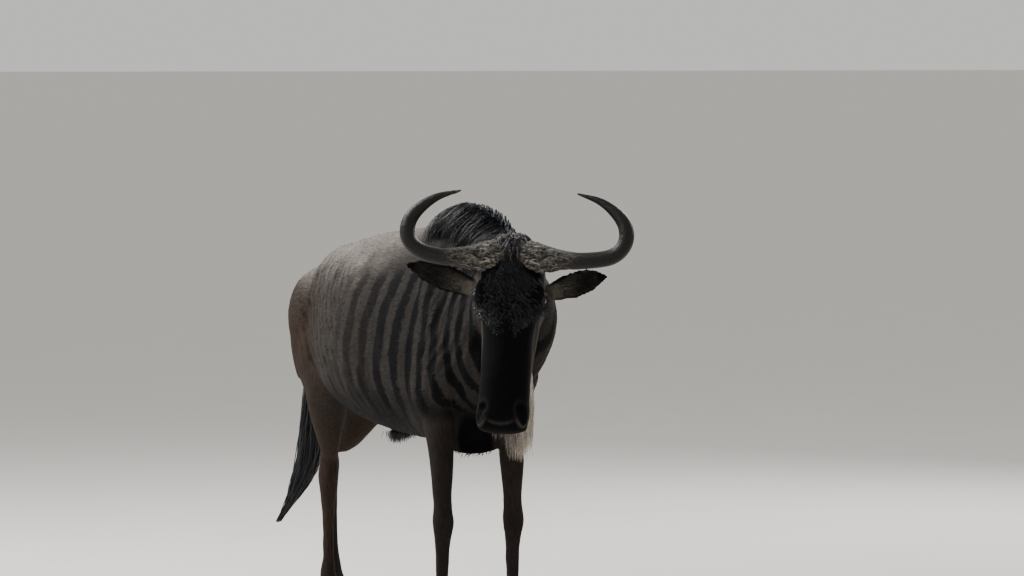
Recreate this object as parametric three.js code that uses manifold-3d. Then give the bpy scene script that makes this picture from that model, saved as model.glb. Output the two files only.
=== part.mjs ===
// A blue wildebeest bull of the white-bearded kind, standing with its head turned to its right.
// Millimetres, +Z up, +X along the trunk towards the chest, +Y to the animal's left. Points are
// given from the ground between the forefeet, and the finished group is moved so that its box
// stands on the origin.
import * as THREE from "three";
import { mergeVertices } from "three/addons/utils/BufferGeometryUtils.js";
import Module from "manifold-3d";

const wasm = await Module();
wasm.setup();

// Driving dimensions
const gap = 0.3; // left between neighbouring pieces
const withers = 1235; // height of the shoulder hump, without its mane
const loin = 1195; // height of the back behind the ribs
const croup = 1150; // height over the hips
const brisket = 548; // height of the breastbone
const belly = 584; // height under the barrel
const chestHalf = 172; // half widths of the trunk
const barrelHalf = 240;
const hipHalf = 170;
const barrelX = -450; // places along the trunk
const hipX = -960;
const tailRootX = -1112;
const stance = 113; // half of the distance between the forelegs
const elbowHeight = 668; // where a foreleg leaves the trunk
const poll = V(490, -110, 1172); // top of the head, between the horns
const headLength = 522;
const headTurn = -32; // degrees, to the animal's right
const headDrop = 70; // degrees, face below the level
const headRoll = -1.5; // degrees, muzzle towards the right
const skullHalf = 95;
const muzzleHalf = 78;
const hornReachLeft = 353; // from the middle of the head to the outside of a horn
const hornReachRight = 325;
const hornRise = 162; // from the poll to a horn's tip
const hornThick = 22; // half of a horn's thickness at its bend
const earBase = V(-84, 92, -130); // from the poll, in the head's level frame
const earTips = { left: V(-118, 264, -73), right: V(-108, 320, -57) }; // the right one as on the left side
const earCut = 0.2; // share of an ear that stays with the head
const eyeRadius = 20;
const hoofHeight = 52;
const maneRise = 84; // hair above the crest at the withers
const beardLength = 330;
const maneLockWidth = 70;
const beardLockWidth = 62;
const tailLockWidth = 58;
const hindJoints = {
  left: { foot: V(-1275, 72, 0), hock: V(-1316, 64, 426), stifle: V(-945, 118, 722) },
  right: { foot: V(-938, 86, 0), hock: V(-984, 75, 420), stifle: V(-836, 120, 716) },
}; // the right ones as on the left side

function V(x, y, z) {
  return new THREE.Vector3(x, y, z);
}
const forward = V(1, 0, 0);
const left = V(0, 1, 0);
const right = V(0, -1, 0);
const upward = V(0, 0, 1);
const downward = V(0, 0, -1);
const radians = THREE.MathUtils.degToRad;
const lerp = THREE.MathUtils.lerp;
THREE.MathUtils.seededRandom(11);
const vary = (amount) => 1 + amount * (2 * THREE.MathUtils.seededRandom() - 1);

// One section of a form: its middle, its half width, and its reach to either side of the middle.
function ring(x, y, z, side, plus, minus = plus, taper = 0) {
  return { at: V(x, y, z), side, plus, minus, taper };
}

// A closed mesh as a solid.
function solid(geometry) {
  geometry.deleteAttribute("normal");
  geometry.deleteAttribute("uv");
  const merged = mergeVertices(geometry);
  const vertProperties = new Float32Array(merged.attributes.position.array);
  const triVerts = new Uint32Array(merged.index.array);
  return new wasm.Manifold(new wasm.Mesh({ numProp: 3, vertProperties, triVerts }));
}

// The rows of a form: where each lies along the spine, its scale, and how far past the spine's end
// it is.
function rowsOf(count, domes, grow) {
  const rows = [];
  for (let i = 0; i <= count; i++) rows.push({ t: i / count, scale: 1, out: 0 });
  const bend = [30, 60].map(radians);
  if (domes[0]) {
    bend.forEach((a) => rows.unshift({ t: 0, scale: Math.cos(a), out: -domes[0] * Math.sin(a) }));
  }
  if (domes[1]) bend.forEach((a) => rows.push({ t: 1, scale: Math.cos(a), out: domes[1] * Math.sin(a) }));
  if (!domes[0]) rows[0].out = -grow;
  if (!domes[1]) rows[rows.length - 1].out = grow;
  rows.unshift({ t: 0, scale: 0, out: -domes[0] - grow });
  rows.push({ t: 1, scale: 0, out: domes[1] + grow });
  return rows;
}

// A closed form along a smooth line through its sections. It is a sphere whose rows are laid on the
// sections, so that its poles close the ends, each flat or rounded by its dome. A taper narrows the
// plus side.
function form(rings, { across = left, sides = 16, steps = 2, square = 2, domes = [0, 0], grow = 0 } = {}) {
  const curve = (points, type) => new THREE.CatmullRomCurve3(points, false, type);
  const spine = curve(rings.map((r) => r.at), "centripetal");
  const radii = curve(rings.map((r) => V(r.side, r.plus, r.minus)), "catmullrom");
  const tapers = curve(rings.map((r) => V(r.taper, 0, 0)), "catmullrom");
  const rows = rowsOf((rings.length - 1) * steps, domes, grow);
  const geometry = new THREE.SphereGeometry(1, sides, rows.length - 1);
  const position = geometry.attributes.position;
  const rounded = (value) => Math.sign(value) * Math.abs(value) ** (2 / square);
  rows.forEach((row, i) => {
    const along = spine.getTangent(row.t);
    const aside = across.clone().addScaledVector(along, -across.dot(along)).normalize();
    const up = new THREE.Vector3().crossVectors(aside, along);
    const middle = spine.getPoint(row.t).addScaledVector(along, row.out);
    const radius = radii.getPoint(row.t);
    const taper = tapers.getPoint(row.t).x;
    for (let c = 0; c <= sides; c++) {
      const angle = ((c % sides) / sides) * 2 * Math.PI;
      const cos = rounded(Math.cos(angle));
      const sin = rounded(Math.sin(angle));
      const reach = sin > 0 ? radius.y : radius.z;
      const point = middle.clone();
      point.addScaledVector(aside, row.scale * (radius.x + grow) * cos * (1 - taper * sin));
      point.addScaledVector(up, row.scale * (reach + grow) * sin);
      position.setXYZ(i * (sides + 1) + c, point.x, point.y, point.z);
    }
  });
  return solid(geometry);
}

// A rounded lump, turned by degrees about X, Y and Z.
function lump(at, [rx, ry, rz], turn = [0, 0, 0]) {
  const geometry = new THREE.SphereGeometry(1, 10, 7);
  geometry.scale(rx, ry, rz);
  const spin = new THREE.Euler(...turn.map(radians), "ZYX");
  geometry.applyMatrix4(new THREE.Matrix4().makeRotationFromEuler(spin));
  geometry.translate(at.x, at.y, at.z);
  return solid(geometry);
}

// Everything past a plane, as a big box.
function beyond({ point, normal }, shift = 0, reach = 3000) {
  const along = normal.clone().normalize();
  const geometry = new THREE.BoxGeometry(reach, reach, reach);
  geometry.translate(0, 0, reach / 2 + shift);
  const turn = new THREE.Quaternion().setFromUnitVectors(upward, along);
  geometry.applyMatrix4(new THREE.Matrix4().compose(point, turn, V(1, 1, 1)));
  return solid(geometry);
}

const join = (pieces) => wasm.Manifold.union(pieces);
const mirrored = (piece) => piece.mirror([0, 1, 0]);
const both = (piece) => [piece, mirrored(piece)];
const placed = (piece, matrix) => piece.transform(matrix.elements);

// A lock of hair through its points: flat, widest near its middle and drawn out to its tip.
function lock(points, width, across) {
  const profile = [0.8, 1, 0.8, 0.14];
  const thickness = 0.24; // of its width, to either side
  const rings = points.map((p, i) =>
    ring(p.x, p.y, p.z, (width / 2) * profile[i], thickness * width * profile[i]),
  );
  return form(rings, { across, sides: 4, steps: 1 });
}

// A lock that leaves its root along a lie and falls under its own weight.
function fallingLock(root, lie, length, width, fall, across) {
  const points = [-0.22, 0.3, 0.68, 1].map((t) => {
    const point = root.clone().addScaledVector(lie, t * length);
    return point.addScaledVector(downward, fall * length * Math.max(t, 0) ** 2);
  });
  return lock(points, width, across);
}

// Trunk: each section is given by its top line and its bottom line.
function trunkRing(x, top, bottom, side, taper) {
  const middle = lerp(bottom, top, 0.46);
  return ring(x, 0, middle, side, top - middle, middle - bottom, taper);
}

function trunk() {
  const barrel = form(
    [
      trunkRing(160, withers - 260, brisket + 96, 0.6 * chestHalf, 0),
      trunkRing(85, withers - 55, brisket + 6, 0.9 * chestHalf, 0.2),
      trunkRing(-30, withers - 3, brisket, 1.02 * chestHalf, 0.32),
      trunkRing(-190, withers - 12, brisket + 24, 1.14 * chestHalf, 0.24),
      trunkRing(barrelX, loin + 8, belly, barrelHalf, 0.12),
      trunkRing(-700, loin - 8, belly + 32, 0.93 * barrelHalf, 0.1),
      trunkRing(-860, loin - 22, belly + 105, 0.78 * barrelHalf, 0.12),
      trunkRing(-990, croup, belly + 190, 0.92 * hipHalf, 0.16),
      trunkRing(-1085, croup - 44, belly + 260, 0.62 * hipHalf, 0.16),
    ],
    { sides: 22, steps: 1, square: 2.15, domes: [40, 40] },
  );
  const blade = form(
    [
      ring(-105, 66, withers - 66, 18, 62),
      ring(-70, 112, withers - 190, 38, 92),
      ring(-10, 122, 900, 46, 96),
      ring(48, 108, 800, 46, 76),
    ],
    { sides: 12, steps: 1, domes: [20, 45] },
  );
  const upperArm = form(
    [ring(86, 104, 838, 44, 52, 58), ring(20, 120, 770, 50, 70, 76), ring(-46, 124, 700, 42, 58, 66)],
    { sides: 10, steps: 1, domes: [30, 26] },
  );
  const sheath = form(
    [
      ring(-480, 0, belly + 20, 16, 20),
      ring(-560, 0, belly + 10, 20, 24),
      ring(-625, 0, belly + 6, 15, 24),
    ],
    { sides: 8, steps: 1, domes: [14, 12] },
  );
  const hipBone = lump(V(-905, 108, croup - 84), [56, 34, 34], [0, 8, 0]);
  return join([barrel, ...both(blade), ...both(upperArm), sheath, ...both(hipBone)]);
}

// Foreleg: a straight column from inside the chest to the coronet.
function foreleg(grow = 0) {
  return form(
    [
      ring(-18, stance + 8, 800, 56, 80, 92),
      ring(-20, stance + 6, 690, 48, 64, 76),
      ring(-8, stance + 2, 593, 38, 48, 56),
      ring(-2, stance, 520, 33, 41, 45),
      ring(0, stance, 440, 27, 32, 34),
      ring(4, stance, 392, 27, 30, 30),
      ring(6, stance, 352, 31, 34, 30),
      ring(2, stance, 305, 25, 26, 26),
      ring(0, stance, 250, 19.5, 20, 24),
      ring(0, stance, 160, 19, 20, 25),
      ring(0, stance, 108, 27, 26, 36),
      ring(14, stance, 78, 25, 25, 28),
      ring(28, stance, 52, 32, 36, 36),
      ring(36, stance, 16, 34, 42, 40),
    ],
    { across: right, sides: 12, steps: 1, square: 2.1, grow },
  );
}

// Hind leg: thigh, second thigh, hock, cannon and pastern down to the coronet.
function hindleg({ foot, hock, stifle }) {
  const inner = 104;
  const down = (t) => [lerp(hock.x, foot.x - 20, t), lerp(hock.y, foot.y, t)];
  const knee = (t) => [lerp(stifle.x, hock.x, t), lerp(stifle.y, hock.y, t), lerp(stifle.z, hock.z, t)];
  const [mx, my, mz] = knee(0.34);
  const [gx, gy, gz] = knee(0.66);
  return form(
    [
      ring(hipX + 12, inner - 12, croup - 92, 54, 90, 84),
      ring(hipX - 12, inner, croup - 190, 80, 145, 150),
      ring(hipX - 2, inner + 4, croup - 290, 80, 160, 154),
      ring(stifle.x - 62, stifle.y, stifle.z + 28, 70, 128, 130),
      ring(mx - 34, my, mz, 50, 84, 86),
      ring(gx - 6, gy, gz, 33, 48, 50),
      ring(hock.x + 8, hock.y, hock.z + 55, 27, 34, 40),
      ring(hock.x, hock.y, hock.z, 31, 38, 44),
      ring(...down(0.17), hock.z - 62, 25, 28, 30),
      ring(...down(0.38), hock.z - 145, 19, 22, 24),
      ring(...down(0.65), 165, 18.5, 21, 24),
      ring(...down(0.82), 108, 25, 26, 34),
      ring(foot.x - 6, foot.y, 78, 23, 24, 26),
      ring(foot.x + 8, foot.y, 52, 29, 33, 33),
      ring(foot.x + 16, foot.y, 16, 31, 38, 36),
    ],
    { across: right, sides: 12, steps: 1, square: 2.1 },
  );
}

// Neck: from inside the shoulders to inside the skull.
function neck() {
  return form(
    [
      ring(-20, 0, 930, 150, 262, 250, 0.22),
      ring(100, 2, 950, 144, 258, 240, 0.25),
      ring(215, 6, 1002, 130, 204, 186, 0.25),
      ring(320, -38, 1050, 112, 134, 128, 0.2),
      ring(400, -76, 1082, 94, 96, 98, 0.1),
      ring(450, -98, 1100, 72, 62, 60),
    ],
    { across: right, sides: 16, domes: [0, 20] },
  );
}

// The head is built level, with its face up and its muzzle along +X, then dropped, rolled and turned.
const crownPlace = new THREE.Matrix4()
  .setPosition(poll)
  .multiply(new THREE.Matrix4().makeRotationZ(radians(headTurn)))
  .multiply(new THREE.Matrix4().makeRotationX(radians(headRoll)));
const headPlace = crownPlace.clone().multiply(new THREE.Matrix4().makeRotationY(radians(headDrop)));

function face(grow = 0) {
  return form(
    [
      ring(-30, 0, -92, 0.72 * skullHalf, 68, 60),
      ring(30, 0, -92, 0.96 * skullHalf, 90, 90),
      ring(100, 0, -92, skullHalf, 92, 92),
      ring(165, 0, -88, 0.94 * skullHalf, 82, 82, 0.1),
      ring(250, 0, -84, 0.86 * skullHalf, 70, 66, 0.16),
      ring(340, 0, -82, 0.79 * skullHalf, 60, 50, 0.1),
      ring(415, 0, -86, 0.96 * muzzleHalf, 54, 40, 0.05),
      ring(465, 0, -88, muzzleHalf, 50, 38, 0),
      ring(headLength - 20, 0, -90, 0.94 * muzzleHalf, 42, 34, 0),
    ],
    { across: right, sides: 16, steps: 1, square: 2.3, domes: [26, 20], grow },
  );
}

function jaw(grow = 0) {
  return form(
    [
      ring(60, 0, -178, 66, 50, 42),
      ring(140, 0, -170, 66, 56, 44),
      ring(250, 0, -148, 58, 44, 36),
      ring(360, 0, -138, 52, 34, 28),
      ring(440, 0, -136, 56, 30, 26),
      ring(488, 0, -134, 52, 28, 24),
    ],
    { across: right, sides: 14, steps: 1, square: 2.3, domes: [24, 18], grow },
  );
}

const cheek = (grow = 0) => lump(V(118, 58, -140), [84 + grow, 38 + grow, 66 + grow], [0, -10, 0]);

function skull() {
  const brow = lump(V(122, 70, -42), [50, 32, 30], [0, 0, -8]);
  const nostrilWing = lump(V(476, 52, -66), [36, 25, 25], [0, 0, 10]);
  const nostril = lump(V(498, 58, -64), [20, 9, 12], [0, 0, 28]);
  const lips = new THREE.BoxGeometry(150, 240, 3);
  lips.translate(headLength - 50, 0, -121);
  const mouthLine = solid(lips).subtract(join([face(-6), jaw(-6)]));
  return join([face(), jaw(), ...both(brow), ...both(cheek()), ...both(nostrilWing)])
    .subtract(join(both(nostril)))
    .subtract(mouthLine);
}

// Each eye lies in a socket behind a shell that is open between the lids.
const eyeAt = V(132, 87, -52);
const eyeball = (grow = 0) => lump(eyeAt, [eyeRadius + grow, eyeRadius + grow, eyeRadius + grow]);
const lids = () => lump(eyeAt, [eyeRadius + 5, eyeRadius + 4, eyeRadius + 4]);
const lidOpening = () => lump(eyeAt.clone().add(V(0, 15, 0)), [17, 20, 10]);

// Horn: a broad boss, then a smooth sweep out, up and in to the tip. A section is given by its
// distance out, up and forward of the poll.
function horn(reach, grow = 0) {
  const out = reach - hornThick;
  const at = (l, u, f, high, deep) => ring(f, l, u, deep, high);
  return form(
    [
      at(13, -11, -36, 30, 36),
      at(50, -19, -28, 43, 45),
      at(92, -27, -20, 41, 41),
      at(140, -26, -8, 30, 31),
      at(200, -27, 2, 24, 25),
      at(out - 42, -13, 0, hornThick + 1, 24),
      at(out - 12, 11, -4, hornThick, 23),
      at(out - 1, 42, -8, hornThick, hornThick),
      at(out - 8, 78, -16, 21, 21),
      at(out - 36, 112, -25, 17, 17),
      at(out - 81, 142, -33, 11, 11),
      at(out - 146, hornRise, -40, 3, 3),
    ],
    { across: forward, sides: 10, steps: 2, grow, domes: [6, 4] },
  );
}

// Ear: a leaf hollowed from the front, from inside the head to its tip.
function ear(tip, grow = 0) {
  const at = (t, lift = 0) => earBase.clone().lerp(tip, t).add(V(0, 0, lift)).toArray();
  const shell = form(
    [
      ring(...at(-0.12), 16, 20),
      ring(...at(0.14), 20, 26),
      ring(...at(0.38, 3), 20, 39),
      ring(...at(0.62, 5), 16, 40),
      ring(...at(0.85, 3), 10, 25),
      ring(...at(1), 4, 5),
    ],
    { across: forward, sides: 10, steps: 1, domes: [0, 4], grow },
  );
  if (grow) return shell;
  const hollow = form(
    [
      ring(...at(0.24, -2), 8, 14),
      ring(...at(0.4, 3), 14, 31),
      ring(...at(0.62, 5), 12, 32),
      ring(...at(0.85, 3), 7, 18),
      ring(...at(0.95), 3, 5),
    ],
    { across: forward, sides: 10, steps: 1, domes: [4, 4] },
  );
  return shell.subtract(hollow.translate([15, 0, 0]));
}

// Tail: a dock that hangs from the croup and ends inside its tuft.
const tailLine = new THREE.CatmullRomCurve3(
  [
    V(tailRootX + 60, 0, croup - 116),
    V(tailRootX - 4, -2, croup - 106),
    V(tailRootX - 42, -10, croup - 164),
    V(tailRootX - 58, -24, 860),
    V(tailRootX - 68, -36, 710),
    V(tailRootX - 80, -46, 550),
    V(tailRootX - 90, -60, 430),
    V(tailRootX - 100, -105, 330),
    V(tailRootX - 112, -150, 256),
  ],
  false,
  "centripetal",
);
function tailForm(reaches, grow = 0) {
  const rings = reaches.map(([t, side, deep]) => {
    const p = tailLine.getPoint(t);
    return ring(p.x, p.y, p.z, side, deep);
  });
  return form(rings, { sides: 10, steps: 1, domes: [0, 8], grow });
}
const dockReaches = [
  [0, 26, 26],
  [0.125, 30, 28],
  [0.25, 27, 26],
  [0.375, 22, 22],
  [0.5, 20, 20],
  [0.625, 16, 16],
  [0.72, 10, 10],
];
const dock = (grow = 0) => tailForm(dockReaches, grow);
function tuftLocks() {
  const count = 5;
  return [0.43, 0.52, 0.61].flatMap((start, row) =>
    Array.from({ length: count }, (_, i) => {
      const angle = ((i + 0.5 * row) / count) * 2 * Math.PI;
      const out = V(1.25 * Math.cos(angle), Math.sin(angle), 0);
      const spread = [10, 25 + 3 * row, 31 + 3 * row, 9].map((s) => s * vary(0.15));
      const share = [0, 0.14, 0.28, 0.42].map((s) => s * vary(0.06));
      const along = share.map((s) => tailLine.getPoint(Math.min(start + s, 1)));
      const points = along.map((p, k) => p.addScaledVector(out, spread[k]));
      return lock(points, tailLockWidth * vary(0.15), V(-out.y, out.x, 0));
    }),
  );
}

// The line of the crest from the withers to the poll, on the skin.
const crestLine = new THREE.CatmullRomCurve3([
  V(-190, 0, withers - 18),
  V(-120, 0, withers - 11),
  V(-40, 0, withers - 6),
  V(60, 1, withers - 22),
  V(150, 4, withers - 42),
  V(265, -16, withers - 74),
  V(360, -54, withers - 68),
  V(440, -88, withers - 62),
]);
function maneLocks() {
  const locks = [];
  const count = 14;
  for (let i = 0; i < count; i++) {
    const t = i / (count - 1);
    const rise = maneRise * (0.16 + 0.84 * Math.sin(Math.PI * (0.08 + 0.86 * t)));
    for (const side of [-1, 1]) {
      const root = crestLine.getPoint(Math.min(1, Math.max(0, t + 0.016 * side))).add(V(0, 5 * side, -14));
      const reach = (side < 0 ? 100 : 62 - 30 * t) * vary(0.12);
      const brow = side < 0 ? 0.75 : 0.5 - 0.3 * t;
      const path = [
        V(0, 0, -14),
        V(-8, 0.25 * reach, rise),
        V(-26, 0.7 * reach, brow * rise),
        V(-44, reach, brow * rise - 84 * vary(0.1)),
      ];
      const points = path.map((p) => root.clone().add(V(p.x, p.y * side, p.z)));
      locks.push(lock(points, maneLockWidth * vary(0.15), forward));
    }
  }
  return locks;
}

// The beard hangs from the throat, from behind the chin to the breast.
const throatLine = new THREE.CatmullRomCurve3([
  V(392, -66, 960),
  V(345, -42, 915),
  V(300, -18, 868),
  V(255, -2, 826),
]);
function beardLocks() {
  const locks = [];
  const count = 6;
  for (let i = 0; i < count; i++) {
    for (const side of [-1, 0, 1]) {
      const t = (i + 0.33 * (side + 1)) / count;
      const root = throatLine.getPoint(Math.min(1, t)).add(V(0, 24 * side, 30 + 14 * Math.abs(side)));
      const lie = V(0.05 * vary(0.9), 0.05 * side * vary(0.5), -1).normalize();
      const length = beardLength * (0.8 + 0.26 * Math.sin(Math.PI * (0.15 + 0.7 * t))) * vary(0.1);
      const across = V(0.6, side === 0 ? 0.8 : 0.8 * side, 0);
      locks.push(fallingLock(root, lie, length, beardLockWidth * vary(0.2), 0, across));
    }
  }
  return locks;
}

// Short hair hangs from the chin.
function chinLocks() {
  const spots = [[386, 0], [420, -18], [420, 18], [452, 0], [474, -22], [474, 22]];
  return spots.map(([x, y]) => {
    const lie = V(0.86, 0.1 * Math.sign(y), -0.5);
    return fallingLock(V(x, y, -152), lie, 46 * vary(0.15), 44 * vary(0.15), 0, left);
  });
}

// The forelock covers the forehead below the horns and lies down along the face.
function forelockLocks() {
  const locks = [];
  const rows = [[-4, 2], [22, 3], [58, 3], [94, 2]];
  rows.forEach(([x, count], row) => {
    for (let i = 0; i < count; i++) {
      const y = (i - (count - 1) / 2) * 42 * vary(0.1);
      const root = V(x + 6 * vary(1), y, -10 - 0.003 * y * y);
      const lie = V(1, 0.006 * y * vary(0.6), 0.62 * vary(0.2)).normalize();
      locks.push(fallingLock(root, lie, (78 - 4 * row) * vary(0.15), 54 * vary(0.15), 0.34, left));
    }
  });
  return locks;
}

// Half a hoof: a blunt wedge with a flat sole.
function claw(width, length) {
  return form(
    [
      ring(20, 0, 90, 0.36 * width, 0.3 * length, 0.26 * length, 0.1),
      ring(30, 0, 40, 0.44 * width, 0.42 * length, 0.36 * length, 0.14),
      ring(40, 0, -12, 0.5 * width, 0.5 * length, 0.46 * length, 0.3),
    ],
    { across: right, sides: 10, steps: 1, square: 2.4 },
  );
}

// Dewclaw: a small blunt cone behind the fetlock.
function dewclaw() {
  const rings = [ring(-14, 0, 96, 9, 9), ring(-36, 0, 84, 9, 9), ring(-45, 0, 68, 6, 6)];
  return form(rings, { across: right, sides: 7, steps: 1 });
}

// Materials
const coat = (color) => new THREE.MeshStandardMaterial({ color, roughness: 0.85, metalness: 0 });
const horny = (color, roughness) => new THREE.MeshStandardMaterial({ color, roughness, metalness: 0 });
const greyCoat = coat(0x7a7169);
const legCoat = coat(0x4a423c);
const blackHair = coat(0x17171a);
const faceCoat = coat(0x35312f);
const hornSheath = horny(0x2b2825, 0.45);
const hoofHorn = horny(0x1d1b1a, 0.5);
const eyeSurface = horny(0x120c08, 0.08);

const model = new THREE.Group();

// A piece as a named mesh of the model, of which only the largest closed surface is kept.
function add(name, piece, material) {
  const kept = piece.decompose().reduce((a, b) => (a.volume() >= b.volume() ? a : b));
  const mesh = kept.getMesh();
  const geometry = new THREE.BufferGeometry();
  geometry.setAttribute("position", new THREE.BufferAttribute(new Float32Array(mesh.vertProperties), 3));
  geometry.setIndex(new THREE.BufferAttribute(new Uint32Array(mesh.triVerts), 1));
  const part = new THREE.Mesh(geometry, material);
  part.name = name;
  model.add(part);
}

const plane = (point, normal) => ({ point, normal });
const past = (piece, cut) => piece.intersect(beyond(cut, gap / 2));
const before = (piece, cut) => piece.subtract(beyond(cut, -gap / 2));

// The cut between trunk and neck runs from the withers to the breast. The neck ends round the back
// of the head.
const neckCut = plane(V(20, 0, withers + 5), V(500, 0, 170));
const headOnly = placed(skull(), headPlace);
const hornLeft = placed(horn(hornReachLeft), crownPlace);
const hornRight = placed(mirrored(horn(hornReachRight)), crownPlace);
const hornSockets = join([
  placed(horn(hornReachLeft, gap), crownPlace),
  placed(mirrored(horn(hornReachRight, gap)), crownPlace),
]);

// Head, with a socket and lids for each eye and a stub for each ear
let head = headOnly;
for (const flip of [(piece) => piece, mirrored]) {
  const inHead = (piece) => placed(flip(piece), headPlace);
  head = head.add(inHead(lids())).subtract(inHead(lidOpening())).subtract(inHead(eyeball(gap)));
}
for (const side of ["left", "right"]) {
  const flip = side === "left" ? (piece) => piece : mirrored;
  const leaf = flip(ear(earTips[side]));
  const point = earBase.clone().lerp(earTips[side], earCut);
  const normal = earTips[side].clone().sub(earBase);
  if (side === "right") {
    point.y *= -1;
    normal.y *= -1;
  }
  const cut = plane(point, normal);
  add(`ear_${side}`, placed(past(leaf, cut), crownPlace).subtract(hornSockets), faceCoat);
  head = head.add(placed(before(leaf, cut), crownPlace));
  add(`eye_${side}`, placed(flip(eyeball()), headPlace), eyeSurface);
}
head = head.add(placed(join([...forelockLocks(), ...chinLocks()]), headPlace));
add("head", head.subtract(hornSockets), faceCoat);
add("horn_left", hornLeft, hornSheath);
add("horn_right", hornRight, hornSheath);

const mane = join(maneLocks());
const beard = join(beardLocks());
const neckFlesh = neck();
const headRoom = join([
  placed(join([face(gap), jaw(gap), ...both(cheek(gap))]), headPlace),
  placed(join([ear(earTips.left, gap), mirrored(ear(earTips.right, gap))]), crownPlace),
  hornSockets,
]);
add("neck", past(join([neckFlesh, mane, beard]), neckCut).subtract(headRoom), greyCoat);

// Trunk and hind legs
const hindFeet = { left: hindJoints.left.foot, right: hindJoints.right.foot.clone().multiply(V(1, -1, 1)) };
const hindLeft = hindleg(hindJoints.left);
const hindRight = mirrored(hindleg(hindJoints.right));
const thighCut = plane(V(-800, 0, 700), V(-0.62, 0, -0.78));
const tailCut = plane(V(tailRootX - 24, -5, croup - 128), V(-0.62, -0.1, -0.78));
const tailStub = before(dock(), tailCut);
const tailRoom = dock(gap).intersect(beyond(tailCut, -gap / 2));
const quarters = join([trunk(), hindRight, hindLeft]).subtract(tailRoom);
const sockets = [];
const forelegs = {};
const elbow = plane(V(0, 0, elbowHeight), downward);
for (const [side, flip] of [["left", (piece) => piece], ["right", mirrored]]) {
  const room = beyond(plane(V(0, 0, elbowHeight + gap), downward));
  sockets.push(flip(foreleg(gap).intersect(room)));
  forelegs[side] = flip(foreleg().intersect(beyond(elbow)));
}
const torso = before(before(join([quarters, neckFlesh, tailStub, mane]), neckCut), thighCut);
add("torso", torso.subtract(join(sockets)), greyCoat);
add("tail", past(join([dock(), ...tuftLocks()]), tailCut), blackHair);

// A leg down to its coronet, with its two dewclaws, and the two claws below the coronet.
function addLeg(name, leg, x, y, width, length) {
  const coronet = plane(V(x + 28, y, hoofHeight), V(0.35, 0, -1));
  const ground = plane(V(0, 0, 0), upward);
  const spurs = [];
  for (const [label, side] of [["inner", -1], ["outer", 1]]) {
    const offset = side * Math.sign(y) * (width / 4 + 1.5);
    const half = claw(width / 2 - 3, length).translate([x, y + offset, 0]).intersect(beyond(ground));
    add(`claw_${label}_${name}`, past(half, coronet), hoofHorn);
    spurs.push(dewclaw().translate([x, y + 0.7 * offset, 0]));
  }
  add(name, before(join([leg, ...spurs]), coronet), legCoat);
}

for (const side of ["left", "right"]) {
  const y = side === "left" ? 1 : -1;
  const half = plane(V(0, 0, 0), V(0, y, 0));
  const quarter = past(past(quarters, thighCut), half);
  addLeg(`foreleg_${side}`, forelegs[side], 0, y * stance, 76, 98);
  addLeg(`hindleg_${side}`, quarter, hindFeet[side].x - 20, hindFeet[side].y, 68, 88);
}

// The model stands on the middle of its own box.
const box = new THREE.Box3().setFromObject(model);
model.position.set(-(box.min.x + box.max.x) / 2, -(box.min.y + box.max.y) / 2, 0);

export default model;
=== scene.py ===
"""Looks of a still, life-size model of a wildebeest bull: its skin, coat, mane, beard, tail hair, horns, eyes
and hooves, with a plain stage. Shapes are given in millimetres from the ground between the forefeet, with +X
along the trunk towards the chest and +Y to the animal's left, and are placed in the frame in metres."""

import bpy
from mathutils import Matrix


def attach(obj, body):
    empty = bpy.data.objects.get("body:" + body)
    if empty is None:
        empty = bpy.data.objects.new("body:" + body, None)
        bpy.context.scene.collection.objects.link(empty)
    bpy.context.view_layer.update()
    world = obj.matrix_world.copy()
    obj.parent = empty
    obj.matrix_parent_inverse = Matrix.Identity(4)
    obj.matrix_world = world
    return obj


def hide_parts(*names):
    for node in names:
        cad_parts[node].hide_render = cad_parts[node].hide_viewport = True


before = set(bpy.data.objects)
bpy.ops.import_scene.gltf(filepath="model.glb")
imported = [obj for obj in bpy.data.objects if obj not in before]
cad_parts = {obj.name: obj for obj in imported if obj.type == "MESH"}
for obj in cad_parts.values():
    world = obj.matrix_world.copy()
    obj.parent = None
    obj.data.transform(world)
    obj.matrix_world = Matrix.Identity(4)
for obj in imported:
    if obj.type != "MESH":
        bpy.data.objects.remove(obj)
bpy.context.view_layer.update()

import math

import bpy
import numpy as np
from mathutils import Vector

bl_info = {
    "name": "Wildebeest Model",
    "version": (1, 0, 0),
    "blender": (4, 5, 0),
    "location": "3D View > Sidebar > Wildebeest",
    "description": "Skin, coat, horns, hooves and stage of a still model of a wildebeest bull",
    "category": "Object",
}

MM = 0.001
# Where the ground between the forefeet lies in the frame, in millimetres
PLACE = np.array([339.688, 71.085, 0.0])

FORWARD = np.array([1.0, 0.0, 0.0])
LEFT = np.array([0.0, 1.0, 0.0])
RIGHT = -LEFT
UP = np.array([0.0, 0.0, 1.0])
DOWN = -UP

SIDES = (("left", 1), ("right", -1))

# Main sizes in millimetres, the same as the solids'
WITHERS, LOIN, CROUP, BRISKET, BELLY = 1235, 1195, 1150, 548, 584
CHEST_HALF, BARREL_HALF, HIP_HALF = 172, 240, 170
HIP_X, TAIL_X, STANCE = -960, -1112, 113
SKULL_HALF, MUZZLE_HALF, HEAD_LENGTH = 95, 78, 522
POLL = np.array([490.0, -110.0, 1172.0])
HORN_RISE, HORN_THICK = 162, 22
HORN_REACH = {"left": 353, "right": 325}
EYE_AT = np.array([132.0, 87.0, -52.0])
EYE_RADIUS = 20
EAR_BASE = np.array([-84.0, 92.0, -130.0])
EAR_TIPS = [  # left, and right as on the left side
    np.array([-118.0, 264.0, -73.0]),
    np.array([-108.0, 320.0, -57.0]),
]
HIND = {  # foot, hock and stifle
    "left": ((-1275, 72, 0), (-1316, 64, 426), (-945, 118, 722)),
    "right": ((-938, 86, 0), (-984, 75, 420), (-836, 120, 716)),
}
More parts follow.
